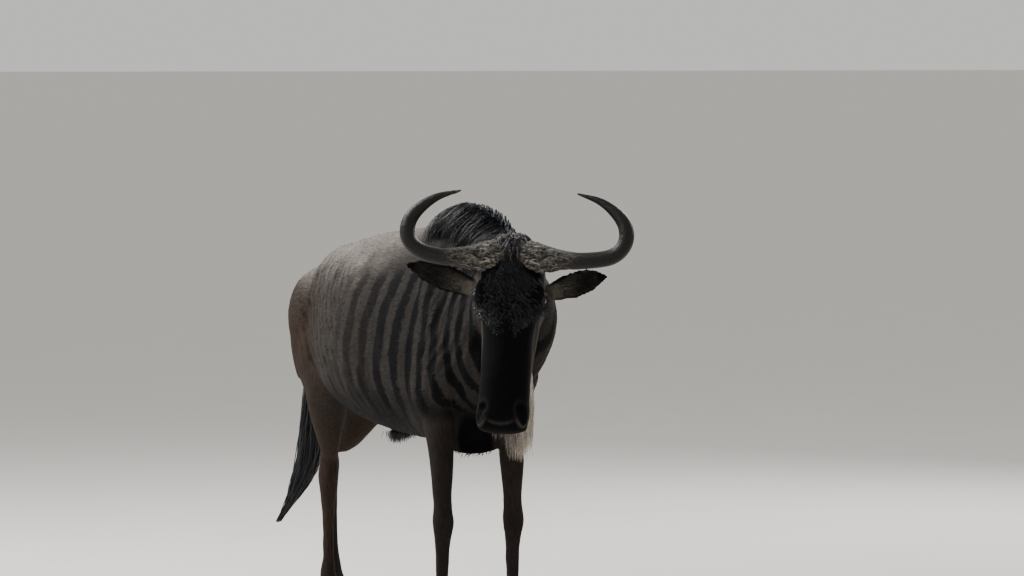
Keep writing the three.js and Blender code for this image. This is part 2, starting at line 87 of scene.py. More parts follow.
# How far the ankle stands behind the foot's place, and the gap between the two claws of a hoof
ANKLE_BACK, CLEFT = 20, 3
FEET = {  # x and y of the ankle, and width and length of the hoof
    "foreleg_left": (0, STANCE, 76, 98),
    "foreleg_right": (0, -STANCE, 76, 98),
    "hindleg_left": (HIND["left"][0][0] - ANKLE_BACK, HIND["left"][0][1], 68, 88),
    "hindleg_right": (HIND["right"][0][0] - ANKLE_BACK, -HIND["right"][0][1], 68, 88),
}
# Height from which slanting patterns on the trunk are counted
BARREL_MID = 900
# In the head's axes: the skull's middle out of the face, and the left nostril's place and size
FACE_MID = -92
NOSTRIL_AT = np.array([472, 60, -56])
NOSTRIL_SIZE = np.array([33, 18, 21])
# The line inside a horn's boss, ahead and up, that its roughness points away from
HORN_CORE = [-20, -14]
# Where the black stripes lie along the trunk and neck, back to front, and each one's number
STRIPE_AT = [-700, -258, -172, -90, -10, 50, 105, 165, 240, 420]
STRIPE_NUMBER = [-5, 0, 1, 2, 3, 4, 5, 6, 7, 9.5]

# The skin: triangles it is thinned to, rounds of smoothing, and the lowest point, hidden in the hooves
SKIN_TRIANGLES = 186000
SMOOTHING = 14
SKIN_LOWEST = 30
# Shares of the way to its neighbours' mean that a point moves in turn, in and back out
EASE_IN, EASE_OUT = 0.55, -0.57
# Where the coat is divided along the trunk into front, ribs and quarters, and its lowest point
COAT_FRONT, COAT_RIBS, COAT_LOWEST = 60, -470, 34
CHIN_LOCKS, BELLY_LOCKS, EAR_LOCKS = 650, 420, 430
# Tufts of the coat: how far under the skin they start, in millimetres, and how high they rise, as a share
TUFT_ROOT = 1.5
TUFT_RISE = 0.08
LOCK_ROWS = 8
LOCK_FLATNESS = 0.32
BAKE_PATCH = 0.003

# Camera: place in millimetres from the ground between the forefeet, heading, downward tilt and lens
CAMERA_AT = np.array([14660.0, -6420.0, 1740.0])
CAMERA_HEADING = (-0.9135, 0.407)
CAMERA_TILT = math.radians(2.505)
CAMERA_LENS = 191.25
LAMPS = (  # name, place and size in metres, and watts
    ("key", (-2.4, -2.6, 4.6), 2.2, 420),
    ("fill", (6.0, -8.0, 3.4), 4.0, 120),
    ("rim", (-3.0, 4.5, 3.4), 3.0, 200),
)
FLOOR_REACH = 400.0


def turned(axis, degrees):
    """A rotation about X (0), Y (1) or Z (2)."""
    c, s = math.cos(math.radians(degrees)), math.sin(math.radians(degrees))
    i, j = [(1, 2), (2, 0), (0, 1)][axis]
    made = np.eye(3)
    made[i, i] = made[j, j] = c
    made[i, j], made[j, i] = -s, s
    return made


CROWN_TURN = turned(2, -32) @ turned(0, -1.5)
HEAD_TURN = CROWN_TURN @ turned(1, 70)


def to_head(points):
    """Points of the body in the head's own axes: along the face, to its left, and out of the face."""
    return (points - POLL) @ HEAD_TURN


def to_crown(points):
    """Points of the body in the crown's axes, which turn with the head but stay nearly level."""
    return (points - POLL) @ CROWN_TURN


def from_head(points):
    """Points in the head's axes, in an array of any shape, back in the body's."""
    return (points.reshape(-1, 3) @ HEAD_TURN.T + POLL).reshape(points.shape)


def from_crown(points):
    """Points in the crown's axes, in an array of any shape, back in the body's."""
    return (points.reshape(-1, 3) @ CROWN_TURN.T + POLL).reshape(points.shape)


def smooth(low, high, x):
    """0 at low, 1 at high, with an S curve between."""
    t = np.clip((x - low) / (high - low), 0, 1)
    return t * t * (3 - 2 * t)


def unit(v):
    return v / np.maximum(np.linalg.norm(v, axis=-1, keepdims=True), 1e-9)


def columns(*values):
    """Numbers and arrays side by side, as the columns of one array."""
    return np.stack(np.broadcast_arrays(*values), -1)


NOISE_CELLS = 48
NOISE_GRIDS = {}


def noise(points, scale, seed):
    """Smooth noise from -1 to 1 with features about scale across."""
    if seed not in NOISE_GRIDS:
        NOISE_GRIDS[seed] = np.random.default_rng(seed).uniform(-1, 1, (NOISE_CELLS,) * 3)
    q = np.asarray(points, float) / scale
    i = np.floor(q).astype(int)
    f = q - i
    f = f * f * (3 - 2 * f)
    total = np.zeros(len(q))
    for corner in np.ndindex(2, 2, 2):
        w = np.where(corner, f, 1 - f)
        cell = tuple(((i + corner) % NOISE_CELLS).T)
        total += w[:, 0] * w[:, 1] * w[:, 2] * NOISE_GRIDS[seed][cell]
    return total


def spline(points, t, even=False):
    """Points of a smooth curve through the given ones, at shares t of its sections."""
    p = np.asarray(points, float)
    s = np.clip(np.asarray(t, float), 0, 1) * (len(p) - 1)
    i = np.minimum(s.astype(int), len(p) - 2)
    w = (s - i)[:, None]
    run = np.vstack([2 * p[0] - p[1], p, 2 * p[-1] - p[-2]])
    a, b, c, d = run[i], run[i + 1], run[i + 2], run[i + 3]
    if even:
        u, v = 0.5 * (c - a), 0.5 * (d - b)
    else:
        g0, g1, g2 = (
            np.maximum(np.linalg.norm(k, axis=1, keepdims=True), 1e-6) ** 0.5 for k in (b - a, c - b, d - c)
        )
        u = ((b - a) / g0 - (c - a) / (g0 + g1) + (c - b) / g1) * g1
        v = ((c - b) / g1 - (d - b) / (g1 + g2) + (d - c) / g2) * g1
    return b + u * w + (3 * (c - b) - 2 * u - v) * w**2 + (2 * (b - c) + u + v) * w**3


def form(rings, across=LEFT, sides=40, steps=8, square=2.0, domes=(0, 0), grow=0.0):
    """A closed loft: points and faces. A ring is x, y, z, half width, reach up, reach down and taper."""
    rows = [(*r, *(r[4:5] if len(r) < 6 else ()), *((0,) if len(r) < 7 else ())) for r in rings]
    rings = np.array(rows, float)
    count = (len(rings) - 1) * steps
    bend = np.radians([15, 30, 45, 60, 75])
    lines = [(i / count, 1, 0) for i in range(count + 1)]
    if domes[0]:
        lines = [(0, math.cos(a), -domes[0] * math.sin(a)) for a in bend[::-1]] + lines
    else:
        lines[0] = (0, 1, -grow)
    if domes[1]:
        lines += [(1, math.cos(a), domes[1] * math.sin(a)) for a in bend]
    else:
        lines[-1] = (1, 1, grow)
    t, scale, out = np.array(lines, float).T
    middle = spline(rings[:, :3], t)
    step = 1e-4
    ahead = spline(rings[:, :3], np.minimum(t + step, 1))
    along = unit(ahead - spline(rings[:, :3], np.maximum(t - step, 0)))
    aside = unit(across - along * (along @ across)[:, None])
    upward = np.cross(aside, along)
    radius = spline(rings[:, 3:7], t, even=True)
    middle = middle + along * out[:, None]
    angle = np.arange(sides) / sides * 2 * math.pi
    cos, sin = (np.sign(k) * np.abs(k) ** (2 / square) for k in (np.cos(angle), np.sin(angle)))
    reach = np.where(sin > 0, radius[:, 1:2], radius[:, 2:3]) + grow
    wide = scale[:, None] * (radius[:, 0:1] + grow) * cos * (1 - radius[:, 3:4] * sin)
    tall = scale[:, None] * reach * sin
    grid = middle[:, None] + aside[:, None] * wide[..., None] + upward[:, None] * tall[..., None]
    first, last = spline(rings[:, :3], [0.0, 1.0])
    ends = [first - along[0] * (domes[0] + grow), last + along[-1] * (domes[1] + grow)]
    return closed(grid, ends)


def walls(rows, sides, wrap=False):
    """Faces between rows of points that each go round, with wrap also between the last row and the first."""
    row = np.arange(rows if wrap else rows - 1)[:, None]
    here, above = row * sides, (row + 1) % rows * sides
    i = np.arange(sides)
    j = (i + 1) % sides
    return np.stack([here + i, here + j, above + j, above + i], -1).reshape(-1, 4)


def closed(grid, ends=None):
    """A grid of rows that each go round, closed at both ends, as points and faces."""
    rows, sides = grid.shape[:2]
    points = grid.reshape(-1, 3)
    if ends is None:
        ends = [grid[0].mean(0), grid[-1].mean(0)]
    around = np.arange(sides)
    after = (around + 1) % sides
    base = (rows - 1) * sides
    first, last = len(points), len(points) + 1
    caps = [columns(after, around, first, first), columns(base + around, base + after, last, last)]
    return np.vstack([points, ends]), np.concatenate([walls(rows, sides), *caps])


def lump(at, radii, turn=(0, 0, 0)):
    """An ellipsoid, turned by degrees about X, then Y, then Z."""
    rows = np.radians(np.linspace(0, 180, 17))[1:-1, None]
    angle = np.arange(28) / 28 * 2 * math.pi
    grid = columns(np.sin(rows) * np.cos(angle), np.sin(rows) * np.sin(angle), np.cos(rows))
    spin = turned(2, turn[2]) @ turned(1, turn[1]) @ turned(0, turn[0])
    ends = np.array([[0, 0, 1.0], [0, 0, -1.0]])
    points, faces = closed(grid, ends)
    return (points * radii) @ spin.T + at, faces


def mirrored(shape):
    points, faces = shape
    return points * [1, -1, 1], faces[:, [1, 0, 3, 2]]


def both(shape):
    """A shape of the left side, and its mirror image."""
    return [shape, mirrored(shape)]


def on_side(shape, flip):
    """A shape of the left side, or for a negative flip its mirror image."""
    return shape if flip > 0 else mirrored(shape)


def placed(shape, put):
    """A shape whose points go through a function."""
    return put(shape[0]), shape[1]


# ---------------------------------------------------------------- forms of the body


def trunk_ring(x, top, bottom, side, taper):
    middle = bottom + 0.46 * (top - bottom)
    return (x, 0, middle, side, top - middle, middle - bottom, taper)


def trunk(depth):
    barrel = form(
        [
            trunk_ring(160, WITHERS - 260, BRISKET + 96, 0.6 * CHEST_HALF, 0),
            trunk_ring(85, WITHERS - 55, BRISKET + 6, 0.9 * CHEST_HALF, 0.2),
            trunk_ring(-30, WITHERS - 3, BRISKET, 1.02 * CHEST_HALF, 0.32),
            trunk_ring(-190, WITHERS - 12, BRISKET + 24, 1.14 * CHEST_HALF, 0.24),
            trunk_ring(-450, LOIN + 8, BELLY, BARREL_HALF, 0.12),
            trunk_ring(-700, LOIN - 8, BELLY + 32, 0.93 * BARREL_HALF, 0.1),
            trunk_ring(-860, LOIN - 22, BELLY + 105, 0.78 * BARREL_HALF, 0.12),
            trunk_ring(-990, CROUP, BELLY + 190, 0.92 * HIP_HALF, 0.16),
            trunk_ring(-1085, CROUP - 44, BELLY + 260, 0.62 * HIP_HALF, 0.16),
        ],
        sides=72,
        square=2.15,
        domes=(40, 40),
        grow=-depth,
    )
    blade = form(
        [
            (-105, 66, WITHERS - 66, 18, 62),
            (-70, 112, WITHERS - 190, 38, 92),
            (-10, 122, 900, 46, 96),
            (48, 108, 800, 46, 76),
        ],
        domes=(20, 45),
        grow=-depth,
    )
    upper_arm = form(
        [(86, 104, 838, 44, 52, 58), (20, 120, 770, 50, 70, 76), (-46, 124, 700, 42, 58, 66)],
        domes=(30, 26),
        grow=-depth,
    )
    sheath = form(
        [(-480, 0, BELLY + 20, 16, 20), (-560, 0, BELLY + 10, 20, 24), (-625, 0, BELLY + 6, 15, 24)],
        domes=(14, 12),
        grow=-depth,
    )
    return [barrel, *both(blade), *both(upper_arm), sheath]


def foreleg(depth):
    return form(
        [
            (-18, STANCE + 8, 800, 56, 80, 92),
            (-20, STANCE + 6, 690, 48, 64, 76),
            (-8, STANCE + 2, 593, 38, 48, 56),
            (-2, STANCE, 520, 33, 41, 45),
            (0, STANCE, 440, 27, 32, 34),
            (4, STANCE, 392, 27, 30, 30),
            (6, STANCE, 352, 31, 34, 30),
            (2, STANCE, 305, 25, 26, 26),
            (0, STANCE, 250, 19.5, 20, 24),
            (0, STANCE, 160, 19, 20, 25),
            (0, STANCE, 108, 27, 26, 36),
            (14, STANCE, 78, 25, 25, 28),
            (28, STANCE, 52, 32, 36, 36),
            (34, STANCE, 36, 30, 34, 34),
        ],
        across=RIGHT,
        square=2.1,
        grow=-depth,
    )


def hindleg(foot, hock, stifle, depth):
    foot, hock, stifle = (np.array(k, float) for k in (foot, hock, stifle))
    upper, lower = stifle + (hock - stifle) * 0.34, stifle + (hock - stifle) * 0.66
    ankle = foot[:2] - [ANKLE_BACK, 0]
    thigh = 104

    def shank(t):
        """Where the middle of the shank lies, a share t of the way from the hock to the ankle."""
        return hock[:2] + (ankle - hock[:2]) * t

    return form(
        [
            (HIP_X + 12, thigh - 30, CROUP - 92, 34, 70, 64),
            (HIP_X - 12, thigh, CROUP - 190, 80, 145, 150),
            (HIP_X - 2, thigh + 4, CROUP - 290, 80, 160, 154),
            (stifle[0] - 62, stifle[1], stifle[2] + 28, 70, 128, 130),
            (upper[0] - 34, upper[1], upper[2], 50, 84, 86),
            (lower[0] - 6, lower[1], lower[2], 33, 48, 50),
            (hock[0] + 8, hock[1], hock[2] + 55, 27, 34, 40),
            (hock[0], hock[1], hock[2], 31, 38, 44),
            (*shank(0.17), hock[2] - 62, 25, 28, 30),
            (*shank(0.38), hock[2] - 145, 19, 22, 24),
            (*shank(0.65), 165, 18.5, 21, 24),
            (*shank(0.82), 108, 25, 26, 34),
            (foot[0] - 6, foot[1], 78, 23, 24, 26),
            (foot[0] + 8, foot[1], 52, 29, 33, 33),
            (foot[0] + 14, foot[1], 36, 27, 31, 31),
        ],
        across=RIGHT,
        square=2.1,
        grow=-depth,
    )


def neck(depth):
    return form(
        [
            (-20, 0, 930, 150, 262, 250, 0.22),
            (100, 2, 950, 144, 258, 240, 0.25),
            (215, 6, 1002, 130, 204, 186, 0.25),
            (320, -38, 1050, 112, 134, 128, 0.2),
            (400, -76, 1082, 94, 96, 98, 0.1),
            (450, -98, 1100, 72, 62, 60),
        ],
        across=RIGHT,
        sides=64,
        domes=(0, 20),
        grow=-depth,
    )


def skull(depth):
    face = form(
        [
            (-30, 0, -92, 0.72 * SKULL_HALF, 68, 60),
            (30, 0, -92, 0.96 * SKULL_HALF, 90, 90),
            (100, 0, -92, SKULL_HALF, 92, 92),
            (165, 0, -88, 0.94 * SKULL_HALF, 82, 82, 0.1),
            (250, 0, -84, 0.86 * SKULL_HALF, 70, 66, 0.16),
            (340, 0, -82, 0.79 * SKULL_HALF, 60, 50, 0.1),
            (415, 0, -86, 0.96 * MUZZLE_HALF, 54, 40, 0.05),
            (465, 0, -88, MUZZLE_HALF, 50, 38, 0),
            (HEAD_LENGTH - 20, 0, -90, 0.94 * MUZZLE_HALF, 42, 34, 0),
        ],
        across=RIGHT,
        square=2.3,
        domes=(26, 20),
        grow=-depth,
    )
    jaw = form(
        [
            (60, 0, -178, 66, 50, 42),
            (140, 0, -170, 66, 56, 44),
            (250, 0, -148, 58, 44, 36),
            (360, 0, -138, 52, 34, 28),
            (440, 0, -136, 56, 30, 26),
            (488, 0, -134, 52, 28, 24),
        ],
        across=RIGHT,
        square=2.3,
        domes=(24, 18),
        grow=-depth,
    )
    cheek = lump([118, 58, -140], [84 - depth, 38 - depth, 66 - depth], (0, -10, 0))
    brow = lump([122, 70, -42], [50 - depth, 32 - depth, 30 - depth], (0, 0, -8))
    wing = lump([476, 52, -66], [36 - depth, 25 - depth, 25 - depth], (0, 0, 10))
    return [placed(s, from_head) for s in [face, jaw, *both(cheek), *both(brow), *both(wing)]]


EAR_ROWS = np.array(
    [  # share of the length, half height, half depth, how hollow it is in front, and lift
        (-0.12, 20, 16, -1.0, 0),
        (0.05, 24, 19, -1.0, 0),
        (0.2, 31, 22, -0.3, 2),
        (0.35, 38, 23, 0.45, 3),
        (0.5, 41, 22, 0.56, 4),
        (0.65, 38, 19, 0.52, 5),
        (0.8, 29, 15, 0.4, 4),
        (0.92, 16, 9, 0.2, 2),
        (1.0, 5, 5, -0.6, 0),
    ]
)


def ear(tip, depth):
    """A leaf that is hollow in front, from inside the head to its tip."""
    rows = spline(EAR_ROWS - [0, depth, depth, 0, 0], np.linspace(0, 1, 41), even=True)
    t, tall, deep, hollow, lift = rows.T
    middle = EAR_BASE + (tip - EAR_BASE) * t[:, None] + np.outer(lift, UP)
    axis = unit(tip - EAR_BASE)
    aside = unit(FORWARD - axis * (axis @ FORWARD))
    tip_up = np.cross(aside, axis)
    angle = np.radians(np.linspace(-90, 90, 19))
    high = tall[:, None] * np.sin(angle)
    back = columns(-deep[:, None] * np.cos(angle), high)
    front = columns(-(deep * hollow)[:, None] * np.cos(angle), high)[:, ::-1][:, 1:-1]
    ring = np.concatenate([back, front], 1)
    return closed(middle[:, None] + aside * ring[..., :1] + tip_up * ring[..., 1:])


TAIL_POINTS = [
    (TAIL_X + 60, 0, CROUP - 116),
    (TAIL_X - 4, -2, CROUP - 106),
    (TAIL_X - 42, -10, CROUP - 164),
    (TAIL_X - 58, -24, 860),
    (TAIL_X - 68, -36, 710),
    (TAIL_X - 80, -46, 550),
    (TAIL_X - 90, -60, 430),
    (TAIL_X - 100, -105, 330),
    (TAIL_X - 112, -150, 256),
]


def dock(depth):
    reaches = [(0, 26), (0.125, 29), (0.25, 26.5), (0.375, 22), (0.5, 20), (0.625, 16), (0.72, 10)]
    at = spline(TAIL_POINTS, [r[0] for r in reaches])
    return form([(*p, r[1], r[1]) for p, r in zip(at, reaches)], domes=(0, 8), grow=-depth)


CREST = [
    (-190, 0, WITHERS - 18),
    (-120, 0, WITHERS - 11),
    (-40, 0, WITHERS - 6),
    (60, 1, WITHERS - 22),
    (150, 4, WITHERS - 42),
    (265, -16, WITHERS - 74),
    (360, -54, WITHERS - 68),
    (440, -88, WITHERS - 62),
]
THROAT = [(392, -66, 960), (345, -42, 915), (300, -18, 868), (255, -2, 826)]


# ---------------------------------------------------------------- regions and markings


def nearest(points, line):
    """How far points lie from the nearest of the points of a line."""
    return np.min(np.linalg.norm(points[:, None] - line[None], axis=2), axis=1)


def regions(points):
    """Shares of head, ear, foreleg, hind leg and tail at points of the skin."""
    x, y, z = points.T
    along, across, proud = to_head(points).T
    head = smooth(-30, 40, along + 0.8 * (proud + 165))
    head = head * smooth(185, 145, np.hypot(across, proud + 100))
    crown = to_crown(points)
    ears = 0
    for tip, (_, flip) in zip(EAR_TIPS, SIDES):
        run = tip - EAR_BASE
        off = crown * [1, flip, 1] - EAR_BASE
        t = np.clip(off @ run / (run @ run), 0, 1)
        gap = np.linalg.norm(off - t[:, None] * run, axis=1)
        ears = np.maximum(ears, smooth(60, 48, gap) * smooth(0.08, 0.2, t))
    near = nearest(points, spline(TAIL_POINTS, np.linspace(0, 1, 28)))
    tail = smooth(52, 42, near) * smooth(TAIL_X - 8, TAIL_X - 34, x)
    fore = smooth(150, 110, np.abs(x + 5)) * smooth(700, 610, z) * smooth(45, 75, np.abs(y)) * (1 - head)
    hind = smooth(-690, -800, x) * smooth(960, 780, z) * (1 - tail)
    return head * (1 - ears), ears, fore, hind, tail


def ear_place(points):
    """How far out along the nearer ear a point lies, and how far from its middle line, as shares."""
    c = to_crown(points)
    t, v = np.zeros(len(c)), np.zeros(len(c))
    for tip, (_, flip) in zip(EAR_TIPS, SIDES):
        run = tip - EAR_BASE
        q = c * [1, flip, 1] - EAR_BASE
        share = q @ run / (run @ run)
        tall = np.interp(share, [0, 0.2, 0.35, 0.5, 0.65, 0.8, 0.92, 1], [24, 31, 38, 41, 38, 29, 16, 8])
        here = c[:, 1] * flip > 0
        t = np.where(here, share, t)
        v = np.where(here, (q - share[:, None] * run)[:, 2] / tall, v)
    return t, np.abs(v)


def nostril(h):
    """How deep a point of the head lies in a nostril: 1 in its middle, 0 at its edge."""
    q = h.copy()
    q[:, 1] = np.abs(q[:, 1])
    q = (q - NOSTRIL_AT) @ turned(2, 20)
    return 1 - np.sum((q / NOSTRIL_SIZE) ** 2, axis=1)


def marks(points, normals):
    """Shares of black, pale and brown coat, and of the paler top colour, at points of the skin. The paler top
    is partly hair paled by the sun and partly painted top light, given to hair that faces up.
    """
    x, _, z = points.T
    h = to_head(points)
    along, across, proud = h[:, 0], np.abs(h[:, 1]), h[:, 2]
    head, ears, fore, hind, tail = regions(points)
    soft, fine = noise(points, 55, 3), noise(points, 13, 5)
    body = (1 - head) * (1 - ears) * (1 - tail)

    # Upright stripes on the neck, shoulder and ribs, and thin slanting dark lines over the flank that are
    # painted shade of fine skin folds
    sway = 10 * noise(points * [1, 1, 0.35], 80, 7) + 6 * noise(points * [1, 1, 0.4], 34, 9)
    sway = sway - 0.0004 * (z - 860) ** 2
    wave = 0.5 + 0.5 * np.cos(2 * math.pi * np.interp(x + sway, STRIPE_AT, STRIPE_NUMBER))
    stripe = smooth(0.3, 0.56, wave + 0.13 * fine + 0.12 * soft)
    top = np.interp(x, [-500, -200, -60, 60], [1085, 1110, 1170, 1260])
    stripe = stripe * (1 - 0.3 * smooth(-120, -460, x)) * (1 - 0.85 * fore) * smooth(-640, -420, x)
    stripe = stripe * smooth(0, 90, top + 30 - z + 14 * fine) * body
    stripe = stripe * smooth(0.0, 0.45, np.abs(normals[:, 1]) + 0.6 * smooth(0, 120, x))
    # Painted shade: dark slanting lines where fine skin folds cross the flank
    slant = 0.5 + 0.5 * np.cos(2 * math.pi * (x + 0.75 * (z - BARREL_MID) + 16 * soft) / 47)
    lines = smooth(0.72, 0.95, slant + 0.15 * fine) * smooth(-1010, -900, x) * smooth(-430, -600, x)
    lines = lines * smooth(700, 800, z) * smooth(1140, 1060, z) * body

    # Dark brisket, legs, dock and crest; painted shade under the belly, over the neck side, shoulder and
    # front ribs below the back, and on the legs towards the ground
    # Painted shade under the belly, darker towards the ground
    under = smooth(800, 630, z + 30 * soft) * body * (1 - fore) * (1 - hind)
    breast = smooth(-110, -10, x) * smooth(740, 650, z + 20 * soft) * body * (1 - fore)
    # Painted shade on the neck side, shoulder and front ribs, below the lit back
    painted_shade = 0.3 * smooth(-560, -300, x) * smooth(1180, 1080, z) * body
    crest = body * smooth(46, 30, nearest(points, spline(CREST, np.linspace(0, 1, 24))))
    black = np.maximum.reduce(
        [
            0.98 * stripe,
            0.6 * lines,
            0.9 * under,
            breast,
            painted_shade,
            body * fore * (0.55 + 0.1 * soft),
            # Painted shade near the ground: lower hind legs, and all legs just above the hooves, darker than
            # their own brown
            hind * (0.18 + 0.12 * soft + 0.4 * smooth(330, 120, z)),
            np.maximum(fore, hind) * 0.8 * smooth(150, 90, z),
            tail * smooth(1010, 860, z),
            crest,
        ]
    )

    # Face: black in front, greyish cheeks with dark lines, grey lips, and paler grey nostril rims that are a
    # painted highlight
    turn = np.degrees(np.arctan2(across, proud - FACE_MID))
    muzzle = smooth(375, 440, along)
    front = smooth(88, 72, turn + 5 * soft - 70 * muzzle)
    socket = np.exp(-(((proud + 50) / 20) ** 2 + ((along - 134) / 40) ** 2))
    streak = 0.5 + 0.5 * np.cos(2 * math.pi * (proud + 0.12 * along + 5 * soft) / 30)
    cheeks = 0.4 + 0.3 * smooth(0.6, 0.9, streak) + 0.25 * smooth(120, 160, turn)
    hole = nostril(h)
    # Painted highlight on the nostril rims, brighter on their outer side
    outer = smooth(-12, 22, 0.8 * (along - NOSTRIL_AT[0]) + 0.6 * (across - NOSTRIL_AT[1]))
    edge = smooth(-1.7, -0.5, hole) * smooth(0.1, -0.2, hole) * (0.3 + 0.7 * outer)
    down = 0.94 * along - 0.34 * proud + 0.006 * across**2
    lip = np.exp(-(((down - 490) / 5.5) ** 2)) * smooth(46, 28, across) * smooth(440, 480, along)
    dark = np.maximum.reduce([front, socket, cheeks]) - 0.4 * edge - 0.3 * lip
    dark = np.maximum(dark, smooth(0.05, 0.3, hole))
    chin = smooth(400, 450, along) * smooth(-128, -146, proud)
    black = black * (1 - head) + dark * (1 - 0.55 * chin) * head

    # Ears: dark behind, pale hair inside a dark rim
    out, off = ear_place(points)
    rim = np.maximum(smooth(0.55, 0.8, off), smooth(0.8, 0.92, out))
    inside = smooth(0.1, 0.5, normals @ CROWN_TURN[:, 0]) * (1 - rim)
    black = black * (1 - ears) + ears * (0.95 - 0.5 * inside)
    pale = 0.2 * inside * ears * smooth(0.7, 0.2, out)
    pale = pale + 0.14 * head * smooth(66, 90, turn) * (1 - muzzle) * smooth(150, 120, turn)
    # Grey lips, and the painted highlight on the nostril rims
    pale = pale + (0.1 * lip + 0.12 * edge) * head

    haunch = smooth(-700, -930, x) * smooth(1100, 850, z)
    throat = smooth(120, 200, x) * smooth(-0.3, -0.75, normals[:, 2]) * (1 - head) * smooth(700, 780, z)
    brown = 0.8 * haunch * (1 - tail) + 0.45 * fore + 0.7 * throat + 0.9 * chin * head + 0.3 * head
    # Paler top colour: partly hair paled by the sun, partly painted top light, since it goes to hair of the
    # back and croup that faces up
    bleached_and_lit = smooth(0.25, 0.85, normals[:, 2] + 0.1 * soft) * smooth(940, 1110, z)
    bleached_and_lit = bleached_and_lit * smooth(-120, -420, x) * body
    return np.clip(columns(black, pale, np.clip(brown, 0, 1), bleached_and_lit), 0, 1)


def lie(points):
    """The way the hair points at points of the skin."""
    head, ears, fore, hind, tail = regions(points)
    along = np.tile([-1.0, 0.0, -0.35], (len(points), 1))
    neck_share = smooth(0, 200, points[:, 0])[:, None]
    along = along * (1 - neck_share) + np.array([-0.75, 0, -0.65]) * neck_share
    for share, way in (
        (np.maximum.reduce([fore, hind, tail]), DOWN),
        (head, HEAD_TURN[:, 0]),
    ):
        along = along * (1 - share[:, None]) + way * share[:, None]
    out = CROWN_TURN @ unit(EAR_TIPS[0] - EAR_BASE)
    out_right = CROWN_TURN @ (unit(EAR_TIPS[1] - EAR_BASE) * [1, -1, 1])
    side = (to_crown(points)[:, 1] > 0)[:, None]
    return along * (1 - ears[:, None]) + np.where(side, out, out_right) * ears[:, None]


# ---------------------------------------------------------------- meshes


def packed(values):
    """Rows of numbers as one run of floats."""
    return np.asarray(values).astype(np.float32).ravel()


def pulled(items, field, width, kind=np.int32):
    """One field of all points, edges, corners or triangles of a mesh, as rows."""
    values = np.zeros(len(items) * width, kind)
    items.foreach_get(field, values)
    return values.reshape(-1, width)


def piece(name, shape, nodes, material):
    """Points in millimetres and faces as an object that rides on the frame and stands for nodes."""
    points, faces = shape
    three = faces[:, 2] == faces[:, 3]
    quads, tris = faces[~three], faces[three][:, :3]
    corners = np.concatenate([quads.ravel(), tris.ravel()])
    sizes = np.array([4] * len(quads) + [3] * len(tris), np.int32)
    mesh = bpy.data.meshes.new(name)
    mesh.vertices.add(len(points))
    mesh.vertices.foreach_set("co", packed((points + PLACE) * MM))
    mesh.loops.add(len(corners))
    mesh.loops.foreach_set("vertex_index", corners.astype(np.int32))
    mesh.polygons.add(len(sizes))
    mesh.polygons.foreach_set("loop_start", (np.cumsum(sizes) - sizes).astype(np.int32))
    mesh.polygons.foreach_set("use_smooth", np.full(len(sizes), True))
    mesh.update(calc_edges=True)
    obj = bpy.data.objects.new(name, mesh)
    bpy.context.scene.collection.objects.link(obj)
    if material is not None:
        mesh.materials.append(material)
        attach(obj, "root")
        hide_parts(*nodes)
    return obj


def joined(shapes):
    """Several shapes as one."""
    points, faces, start = [], [], 0
    for p, f in shapes:
        points.append(p)
        faces.append(f + start)
        start += len(p)
    return np.vstack(points), np.concatenate(faces)


def read(mesh):
    """Points in millimetres from the ground between the forefeet, and normals."""
    points = pulled(mesh.vertices, "co", 3, np.float32).astype(float) / MM - PLACE
    return points, pulled(mesh.vertices, "normal", 3, np.float32).astype(float)


def write(mesh, points):
    """Puts a mesh's points at places in millimetres from the ground between the forefeet."""
    mesh.vertices.foreach_set("co", packed((points + PLACE) * MM))
    mesh.update()


def relaxed(points, edges, rounds, hold):
    """Points eased towards their neighbours and back, so that creases soften and nothing shrinks."""
    count = len(points)
    ends = edges.T, edges.T[::-1]
    degree = np.maximum(np.bincount(edges.ravel(), minlength=count), 1)
    for turn in range(2 * rounds):
        share = EASE_IN if turn % 2 == 0 else EASE_OUT
        total = [sum(np.bincount(a, points[b, k], minlength=count) for a, b in ends) for k in range(3)]
        points = points + share * hold[:, None] * (columns(*total) / degree[:, None] - points)
    return points


def strands(paths, width, thick, across, corners=4):
    """Tapered closed locks. Paths are N x K points, width and thick N x K half sizes, across N directions."""
    count, rows = paths.shape[:2]
    along = unit(np.gradient(paths, axis=1))
    across = across[:, None]
    aside = unit(across - along * np.sum(along * across, axis=2, keepdims=True))
    outward = np.cross(aside, along)
    angle = np.arange(corners) / corners * 2 * math.pi
    ring = (
        aside[:, :, None] * (width[..., None] * np.cos(angle))[..., None]
        + outward[:, :, None] * (thick[..., None] * np.sin(angle))[..., None]
    )
    points = (paths[:, :, None] + ring).reshape(-1, 3)
    # A cap of three corners names its last one twice
    cap = np.minimum(np.arange(4), corners - 1)
    first, last = np.arange(corners)[::-1][cap], (rows - 1) * corners + cap
    one = np.concatenate([walls(rows, corners), [first, last]])
    starts = np.arange(count) * rows * corners
    return points, (one[None] + starts[:, None, None]).reshape(-1, 4)


def dress(obj, values, repeat, roots=None):
    """Gives each point of a piece its markings, and each lock a patch of the bake map at its root's place."""
    mesh = obj.data
    layer = mesh.attributes.new("marks", "FLOAT_COLOR", "POINT")
    layer.data.foreach_set("color", packed(np.repeat(values, repeat, axis=0)))
    if roots is not None:
        loops = pulled(mesh.loops, "vertex_index", 1)[:, 0]
        within = (loops % repeat) / repeat
        uv = roots[loops // repeat] * (1 - BAKE_PATCH) + columns(within, (within * 7) % 1) * BAKE_PATCH
        mesh.uv_layers.new(name="OFBake").data.foreach_set("uv", packed(uv))


